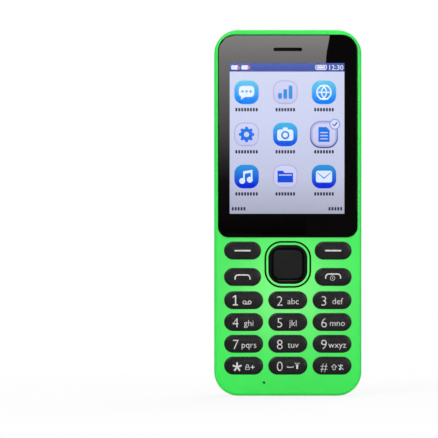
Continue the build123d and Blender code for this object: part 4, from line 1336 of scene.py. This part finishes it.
    def labels(self, screen, centre, middle, step_x, step_z):
        """Small even blocks as labels, under the tiles and in the two corners at the foot."""
        dark = lit("label_dark", ((0.0, (0.2, 0.2, 0.28)), (1.0, (0.22, 0.22, 0.3))), screen.glow)
        letter = Vector((screen.letter, 0, 0))
        for column, count in enumerate(LABEL_LETTERS):
            start = middle + step_x * (column - 1) - step_z - letter * (count - 1) / 2
            start.z -= screen.label_drop
            block = tile_mesh(*LETTER_BLOCK)
            self.show(repeat(f"labels_{column + 1}", block, start, (count, letter), (3, step_z), dark), dark)
        reach = screen.width / 2 - screen.foot_margin
        foot = centre.z - screen.height / 2 + screen.foot_rise
        last = letter.x * (FOOT_LETTERS - 1)
        for side, x in (("left", centre.x - reach), ("right", centre.x + reach - last)):
            block = tile_mesh(*LETTER_BLOCK)
            start = Vector((x, middle.y, foot))
            piece = repeat(f"label_{side}", block, start, (FOOT_LETTERS, letter), (1, step_z), dark)
            self.show(piece, dark)

    def rim(self, place, beyond, width):
        """Print of an even rim that starts a little beyond a tile's edge."""
        half = TILE_GRID / 2
        loops = [
            rounded_loop(half + out, half * TILE_HEIGHT + out, half * 2 * TILE_ROUND + out)
            for out in (beyond + width, beyond)
        ]
        return loops_curve(*loops), place.x, place.z

    def rims(self, screen, middle, step_x, step_z):
        """Fine rims of the pale tiles, and the frame of the chosen tile with its tick."""
        unit = screen.tile / TILE_GRID
        y = middle.y - LAYER
        places = [middle + step_x * i - step_z * j for i in (-1, 0, 1) for j in (-1, 0, 1) if (i + j) % 2]
        piece = plate("tile_rims", [self.rim(place, *FINE_RIM) for place in places], y, LAYER, unit)
        violet = ((0.0, (0.68, 0.69, 0.87)), (1.0, (0.72, 0.74, 0.9)))
        self.show(piece, lit("tile_rim", violet, screen.glow))
        chosen = middle + step_x
        x, z = chosen.x + BADGE_PLACE[0] * unit, chosen.z + BADGE_PLACE[1] * unit
        edge = [self.rim(chosen, *CHOSEN_RIM), (loops_curve(circle(BADGE_RIM), circle(BADGE_FACE)), x, z)]
        slate = ((0.0, (0.3, 0.32, 0.58)), (0.5, (0.5, 0.52, 0.78)), (1.0, (0.6, 0.62, 0.86)))
        piece = plate("chosen_frame", edge, y, LAYER, unit)
        self.show(piece, lit("chosen_frame", slate, screen.glow, chosen.z - screen.tile / 2, z))
        white = ((0.0, (0.86, 0.88, 0.98)), (1.0, (0.92, 0.94, 1.0)))
        piece = plate("badge_face", [(loops_curve(circle(BADGE_FACE)), x, z)], y - LAYER, LAYER, unit)
        self.show(piece, lit("badge_face", white, screen.glow))
        tick = loops_curve(band([(-0.75, 0.05), (-0.2, -0.55), (0.8, 0.6)], 0.42))
        blue = ((0.0, (0.08, 0.3, 0.88)), (1.0, (0.12, 0.42, 0.92)))
        piece = plate("badge_tick", [(tick, x, z)], y - 2 * LAYER, LAYER, unit)
        self.show(piece, lit("badge_tick", blue, screen.glow))


class PHONE_OT_keys(bpy.types.Operator):
    """Build the key caps with their prints, the centre key and the navigation ring."""

    bl_idname = "phone.keys"
    bl_label = "Keys"

    def execute(self, context):
        keys = context.scene.phone_keys
        finish = context.scene.phone_finish
        black = key_black(finish.keys)
        ink = print_grey(finish.print_grey)
        for key in PRESSED_KEYS:
            settle(key_cap(key, keys), key, black, (key,))
            print_on_key(key, key_prints(key, keys), keys, ink)
        refine(NAV_KEY, "centre_key", NAV_KEY, key_matt())
        refine("nav_ring", "ring_body", "nav_ring", ring_black())
        return {"FINISHED"}


class PHONE_OT_keypad(bpy.types.Operator):
    """Finish what lies behind the keys."""

    bl_idname = "phone.keypad"
    bl_label = "Keypad layers"

    def execute(self, context):
        dress(silicone_grey(), "keypad_mat", "nav_web")
        dress(film_clear(), "dome_sheet")
        dress(steel("dome_steel", 0.72, UNBRUSHED, (0.15, 0.3)), "key_domes")
        dress(light_white(), "keypad_lights", "torch_led")
        dress(rubber_black(), "microphone_boot")
        return {"FINISHED"}


class PHONE_OT_board(bpy.types.Operator):
    """Finish the board with its cans, chips, card sockets, contacts and motor."""

    bl_idname = "phone.board"
    bl_label = "Circuit board"

    def execute(self, context):
        can = steel("can_steel")
        plated = gold()
        dress(board_green(), "circuit_board")
        dress(chip_black(), "board_chips")
        dress(connector_black(), "battery_connector")
        dress(plated, "battery_springs", "antenna")
        dress(steel("mic_steel", 0.55, UNBRUSHED), "microphone")
        for node in ("processor_can", "radio_can", "sim_socket_1", "sim_socket_2", "memory_card_socket"):
            refine(node, f"{node}_hood", "housing", can)
        motor = steel("motor_steel", 0.74, UNBRUSHED)
        refine("vibration_motor", "motor_can", "housing", motor)
        for node in ("sim_socket_1", "sim_socket_2", "memory_card_socket"):
            self.contacts(context.scene.phone_board, node, plated)
        refine("housing_screws", "screws", "housing", steel("screw_steel", 0.66, UNBRUSHED))
        return {"FINISHED"}

    def contacts(self, board, node, plated):
        """Sprung contacts that show in the hood of a card socket, in two rows."""
        low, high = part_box(node)
        centre = (low + high) / 2
        step = Vector((board.step, 0, 0))
        rise = Vector((0, 0, (high.z - low.z) / 2))
        start = Vector((centre.x, high.y - board.depth / 2, centre.z))
        start -= step * (board.columns - 1) / 2 + rise / 2
        item = tile_mesh(board.width, board.height, board.corner, board.depth)
        piece = repeat(f"{node}_contacts", item, start, (board.columns, step), (2, rise), plated)
        settle(piece, "housing", plated)


class PHONE_OT_ports(bpy.types.Operator):
    """Finish the headphone socket, the USB socket and the torch."""

    bl_idname = "phone.ports"
    bl_label = "Ports"

    def execute(self, context):
        refine("headphone_jack", "jack_body", "housing", jack_black())
        refine("usb_socket", "usb_shell", "housing", steel("port_steel", 0.6))
        refine("torch_lens", "torch_window", "housing", clear("lens_clear", (0.97, 0.98, 1.0)))
        return {"FINISHED"}


class PHONE_OT_sound(bpy.types.Operator):
    """Build the loudspeaker, its gasket and mesh, and the earpiece."""

    bl_idname = "phone.sound"
    bl_label = "Sound"

    def execute(self, context):
        sound = context.scene.phone_sound
        wire = mesh_black()
        dress(foam_black(), "speaker_gasket")
        dress(steel("speaker_frame", 0.3, UNBRUSHED, (0.35, 0.5)), "earpiece_speaker")
        weave("speaker_weave", "rear_cover", "speaker_mesh", sound.speaker_pitch, sound.wire, wire)
        weave("earpiece_weave", "housing", "earpiece_mesh", sound.earpiece_pitch, sound.wire, wire)
        self.basket(sound)
        self.cone(sound)
        return {"FINISHED"}

    def outline(self):
        """Front, back, centre and half sizes of the loudspeaker."""
        low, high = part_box("loudspeaker")
        return low.y, high.y, (low + high) / 2, half_sizes(low, high)

    def basket(self, sound):
        """Frame with a flat rim."""
        front, back, centre, half = self.outline()
        profile = [(0, front), (0, back), (sound.rim, back), (sound.rim, back - sound.depth)]
        basket = ring_loft("speaker_basket", centre, half, sound.corner, profile)
        finish = steel("basket_steel", 0.28, UNBRUSHED, (0.35, 0.5))
        settle(basket, "housing", finish, ("loudspeaker",))

    def cone(self, sound):
        """Rolled surround and a shallow dome inside it."""
        _, back, centre, half = self.outline()
        sunk = back - sound.depth
        dome = sound.rim + sound.roll
        profile = [(sound.rim, sunk)]
        for step in range(CONE_STEPS + 1):
            turn = math.pi * step / CONE_STEPS
            inset = sound.rim + sound.roll * (1 - math.cos(turn)) / 2
            profile.append((inset, sunk + sound.depth * ROLL_SHARE * math.sin(turn)))
        for step in range(1, CONE_STEPS):
            share = step / CONE_STEPS
            rise = sound.depth * DOME_SHARE * math.sin(share * math.pi / 2)
            profile.append((dome + (half[1] - dome) * share, sunk + rise))
        cone = ring_loft("speaker_cone", centre, half, sound.corner, profile)
        settle(cone, "housing", cone_silver())


class PHONE_OT_battery(bpy.types.Operator):
    """Build the battery with its plain label and its contacts."""

    bl_idname = "phone.battery"
    bl_label = "Battery"

    def execute(self, context):
        battery = context.scene.phone_battery
        low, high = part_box("battery")
        refine("battery", "battery_body", "battery", battery_sleeve())
        self.label(battery, low, high)
        self.prints(battery, (low + high) / 2, high)
        self.pads(battery, high)
        return {"FINISHED"}

    def label(self, battery, low, high):
        """Plain film on the back."""
        half_width, half_height = half_sizes(low, high)
        half = (half_width - battery.margin, half_height - 2 * battery.margin)
        reach = [(0, high.y - battery.film), (0, high.y + battery.film)]
        label = ring_loft("battery_label", (low + high) / 2, half, battery.corner, reach)
        settle(label, "battery", label_silver())

    def prints(self, battery, centre, high):
        """Even lines in the place of writing, and the signs of the two poles."""
        dark = print_grey((0.16, 0.17, 0.19))
        face = high.y + battery.film / 2
        line = tile_mesh(battery.line, battery.line_height, LINE_ROUND, battery.film)
        start = Vector((centre.x, face, centre.z - battery.line_drop))
        rise = Vector((0, 0, battery.line_step))
        lines = repeat("battery_lines", line, start, (1, rise), (LABEL_LINES, rise), dark)
        settle(lines, "battery", dark)
        height = high.z - battery.sign_drop
        plus, minus = centre.x - battery.sign_side, centre.x + battery.sign_side
        level, upright = (1, SIGN_SHARE), (SIGN_SHARE, 1)
        signs = [
            (loops_curve(bar(*size, radius=SIGN_ROUND)), x, height)
            for size, x in ((level, minus), (level, plus), (upright, plus))
        ]
        piece = plate("battery_signs", signs, face, battery.film, battery.sign)
        settle(piece, "battery", dark)

    def pads(self, battery, high):
        """Three gold pads on the top end, in line with the sprung contacts."""
        plated = gold()
        spring_low, spring_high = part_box("battery_springs")
        reach = battery.pad_height / 2
        pad = ring_mesh(
            "pad", Vector(), (battery.pad_width / 2, battery.film), LEAST_RADIUS, [(0, -reach), (0, reach)]
        )
        start = Vector((-battery.pad_step, (spring_low.y + spring_high.y) / 2, high.z))
        step = Vector((battery.pad_step, 0, 0))
        piece = repeat("battery_pads", pad, start, (3, step), (1, step), plated)
        settle(piece, "battery", plated)


class PHONE_OT_stage(bpy.types.Operator):
    """Set the camera, the room, the floor and the lights round the finished phone."""

    bl_idname = "phone.stage"
    bl_label = "Stage"

    def execute(self, context):
        stage = context.scene.phone_stage
        middle = Vector((0, 0, housing_high.z / 2))
        self.camera(context, stage)
        self.room(context, stage)
        self.floor()
        for name, (power, size, place) in LAMPS.items():
            self.lamp(name, getattr(stage, power), size, Vector(place), middle)
        self.glow_lamp(stage)
        self.sheen_card(stage)
        return {"FINISHED"}

    def distance(self, stage):
        """Distance from the phone's face at which the lens sees the wanted width."""
        return stage.view * stage.lens / SENSOR

    def camera(self, context, stage):
        """Long lens that looks straight along +Y."""
        data = bpy.data.cameras.new("camera")
        data.lens = stage.lens
        data.sensor_width = SENSOR
        data.clip_end = CAMERA_END
        camera = link_object("camera", data)
        camera.location = (stage.side, FRONT - self.distance(stage), stage.rise)
        camera.rotation_euler = (math.pi / 2, 0, 0)
        context.scene.camera = camera
        context.scene.view_settings.view_transform = "Standard"

    def room(self, context, stage):
        """White for the camera, an even light on the phone, and for reflections a room lit from behind."""
        world = bpy.data.worlds.new("room")
        world.use_nodes = True
        tree = world.node_tree
        tree.nodes.clear()
        ray = add_node(tree, "ShaderNodeLightPath").outputs
        direction = add_node(tree, "ShaderNodeTexCoord").outputs["Generated"]
        split = add_node(tree, "ShaderNodeSeparateXYZ", {"Vector": direction})
        behind = add_node(
            tree, "ShaderNodeMapRange",
            {"Value": split.outputs["Y"], "From Min": -0.55, "From Max": 0.6, "To Min": 0.05, "To Max": 0.15},
            interpolation_type="SMOOTHSTEP",
        )
        aside = add_node(tree, "ShaderNodeMath", {0: split.outputs["X"]}, operation="ABSOLUTE")
        even = add_node(
            tree, "ShaderNodeMapRange",
            {"Value": aside.outputs[0], "To Min": stage.ambient, "To Max": stage.ambient * ROOM_SIDES},
        )
        mirrored = add_node(
            tree, "ShaderNodeMix", {0: ray["Is Glossy Ray"], 2: even.outputs[0], 3: behind.outputs[0]}
        )
        seen = add_node(
            tree, "ShaderNodeMath", {0: ray["Is Camera Ray"], 1: ray["Is Transmission Ray"]},
            operation="MAXIMUM",
        )
        level = add_node(tree, "ShaderNodeMix", {0: seen.outputs[0], 2: mirrored.outputs[0], 3: 1.0})
        background = add_node(
            tree, "ShaderNodeBackground", {"Color": (1, 1, 1, 1), "Strength": level.outputs[0]}
        )
        add_node(tree, "ShaderNodeOutputWorld", {"Surface": background.outputs[0]})
        context.scene.world = world

    def floor(self):
        """Pale floor that runs out into the white of the room and keeps a soft shadow."""
        bm = bmesh.new()
        bmesh.ops.create_grid(bm, x_segments=8, y_segments=8, size=FLOOR_REACH)
        floor = mesh_object("floor", bm)
        material, tree = bare_material("floor_white")
        ray = add_node(tree, "ShaderNodeLightPath").outputs
        place = add_node(tree, "ShaderNodeTexCoord").outputs["Object"]
        speckle = add_node(tree, "ShaderNodeTexNoise", {"Vector": place, "Scale": 60.0})
        tone = add_node(
            tree, "ShaderNodeMix",
            {0: speckle.outputs[0], 6: (0.86, 0.86, 0.86, 1), 7: (0.9, 0.9, 0.9, 1)}, data_type="RGBA",
        )
        matt = add_node(tree, "ShaderNodeBsdfDiffuse", {"Color": tone.outputs[2]})
        white = add_node(tree, "ShaderNodeEmission", {"Color": (1, 1, 1, 1), "Strength": 1.0})
        black = add_node(tree, "ShaderNodeEmission", {"Strength": 0.0})
        reach = add_node(tree, "ShaderNodeVectorMath", {0: place}, operation="LENGTH")
        near, far = FLOOR_FADE
        fade = add_node(
            tree, "ShaderNodeMapRange",
            {"Value": reach.outputs[1], "From Min": near, "From Max": far, "To Min": 0.82, "To Max": 1.0},
        )
        share = add_node(
            tree, "ShaderNodeMath", {0: ray["Is Camera Ray"], 1: fade.outputs[0]}, operation="MULTIPLY"
        )
        seen = add_node(
            tree, "ShaderNodeMixShader", {0: share.outputs[0], 1: matt.outputs[0], 2: white.outputs[0]}
        )
        dim = add_node(tree, "ShaderNodeMath", {0: ray["Is Glossy Ray"], 1: 0.85}, operation="MULTIPLY")
        mixed = add_node(
            tree, "ShaderNodeMixShader", {0: dim.outputs[0], 1: seen.outputs[0], 2: black.outputs[0]}
        )
        add_node(tree, "ShaderNodeOutputMaterial", {"Surface": mixed.outputs[0]})
        floor.data.materials.append(material)

    def lamp(self, name, power, size, place, aim):
        """Soft square lamp that points at its aim."""
        data = bpy.data.lights.new(name, "AREA")
        data.energy = power
        data.size = size
        lamp = link_object(name, data)
        lamp.location = place
        lamp.rotation_euler = (aim - place).to_track_quat("-Z", "Y").to_euler()
        return lamp

    def glow_lamp(self, stage):
        """Small lamp close to the face, mirrored softly in the green between the keys and nowhere else."""
        aim = Vector((0, FRONT, GLOW_HEIGHT))
        lamp = self.lamp("glow_lamp", stage.glow, GLOW_WIDTH, aim - Vector((0, GLOW_REACH, 0)), aim)
        lamp.data.color = GLOW_TINT
        lamp.visible_camera = False
        lamp.visible_diffuse = False
        green = bpy.data.collections.new("green_front")
        for name in GLOW_PIECES:
            green.objects.link(bpy.data.objects[name])
        lamp.light_linking.receiver_collection = green

    def sheen_card(self, stage):
        """Card behind the camera whose mirror image lies over the window's top left corner."""
        y = FRONT - CARD_SHARE * self.distance(stage)
        left, right_foot, right_top = (
            window_low.x + edge for edge in (CARD_LEFT, CARD_FOOT_RIGHT, CARD_TOP_RIGHT)
        )
        top = window_high.z + CARD_RISE
        corners = ((left, window_low.z), (right_foot, window_low.z), (right_top, top), (left, top))
        bm = bmesh.new()
        bm.faces.new([
            bm.verts.new((x + (x - stage.side) * CARD_SHARE, y, z + (z - stage.rise) * CARD_SHARE))
            for x, z in corners
        ])
        card = mesh_object("sheen_card", bm)
        card.data.materials.append(self.card_light(stage))
        card.visible_camera = False
        card.visible_diffuse = False
        card.visible_shadow = False

    def card_light(self, stage):
        """Light of the card, which fades towards its foot."""
        material, tree = bare_material("card_light")
        foot, head = (z + (z - stage.rise) * CARD_SHARE for z in (window_low.z, window_high.z))
        place = add_node(tree, "ShaderNodeTexCoord").outputs["Object"]
        split = add_node(tree, "ShaderNodeSeparateXYZ", {"Vector": place})
        height = add_node(
            tree, "ShaderNodeMapRange", {"Value": split.outputs["Z"], "From Min": foot, "From Max": head}
        )
        fade = add_node(tree, "ShaderNodeValToRGB", {"Fac": height.outputs[0]})
        set_stops(fade, [(at, (level,) * 3) for at, level in CARD_FADE])
        strength = add_node(
            tree, "ShaderNodeMath", {0: fade.outputs[0], 1: stage.sheen}, operation="MULTIPLY"
        )
        light = add_node(
            tree, "ShaderNodeEmission", {"Color": (1, 0.99, 0.96, 1), "Strength": strength.outputs[0]}
        )
        add_node(tree, "ShaderNodeOutputMaterial", {"Surface": light.outputs[0]})
        return material


class PHONE_PT_looks(bpy.types.Panel):
    """Sizes and colours of the phone, and a button for each of its parts."""

    bl_label = "Feature phone"
    bl_idname = "PHONE_PT_looks"
    bl_space_type = "VIEW_3D"
    bl_region_type = "UI"
    bl_category = "Phone"

    def draw(self, context):
        scene = context.scene
        for name in GROUPS:
            box = self.layout.box()
            group = getattr(scene, name)
            for size in group.bl_rna.properties.keys():
                if size not in ("rna_type", "name"):
                    box.prop(group, size)
        for operator in OPERATORS:
            self.layout.operator(operator.bl_idname)


OPERATORS = (
    PHONE_OT_shells,
    PHONE_OT_window,
    PHONE_OT_display,
    PHONE_OT_keys,
    PHONE_OT_keypad,
    PHONE_OT_board,
    PHONE_OT_ports,
    PHONE_OT_sound,
    PHONE_OT_battery,
    PHONE_OT_stage,
)
GROUPS = {
    "phone_finish": PhoneFinish,
    "phone_screen": PhoneScreen,
    "phone_keys": PhoneKeys,
    "phone_board": PhoneBoard,
    "phone_sound": PhoneSound,
    "phone_battery": PhoneBattery,
    "phone_stage": PhoneStage,
}


def register():
    """Register the groups, the operators and the panel."""
    for name, group in GROUPS.items():
        bpy.utils.register_class(group)
        setattr(bpy.types.Scene, name, bpy.props.PointerProperty(type=group))
    for operator in OPERATORS:
        bpy.utils.register_class(operator)
    bpy.utils.register_class(PHONE_PT_looks)


def unregister():
    """Remove what register added."""
    bpy.utils.unregister_class(PHONE_PT_looks)
    for operator in reversed(OPERATORS):
        bpy.utils.unregister_class(operator)
    for name, group in GROUPS.items():
        delattr(bpy.types.Scene, name)
        bpy.utils.unregister_class(group)


def main():
    """Build everything in order."""
    register()
    bpy.ops.phone.shells()
    bpy.ops.phone.window()
    bpy.ops.phone.display()
    bpy.ops.phone.keys()
    bpy.ops.phone.keypad()
    bpy.ops.phone.board()
    bpy.ops.phone.ports()
    bpy.ops.phone.sound()
    bpy.ops.phone.battery()
    bpy.ops.phone.stage()


if __name__ == "__main__":
    main()
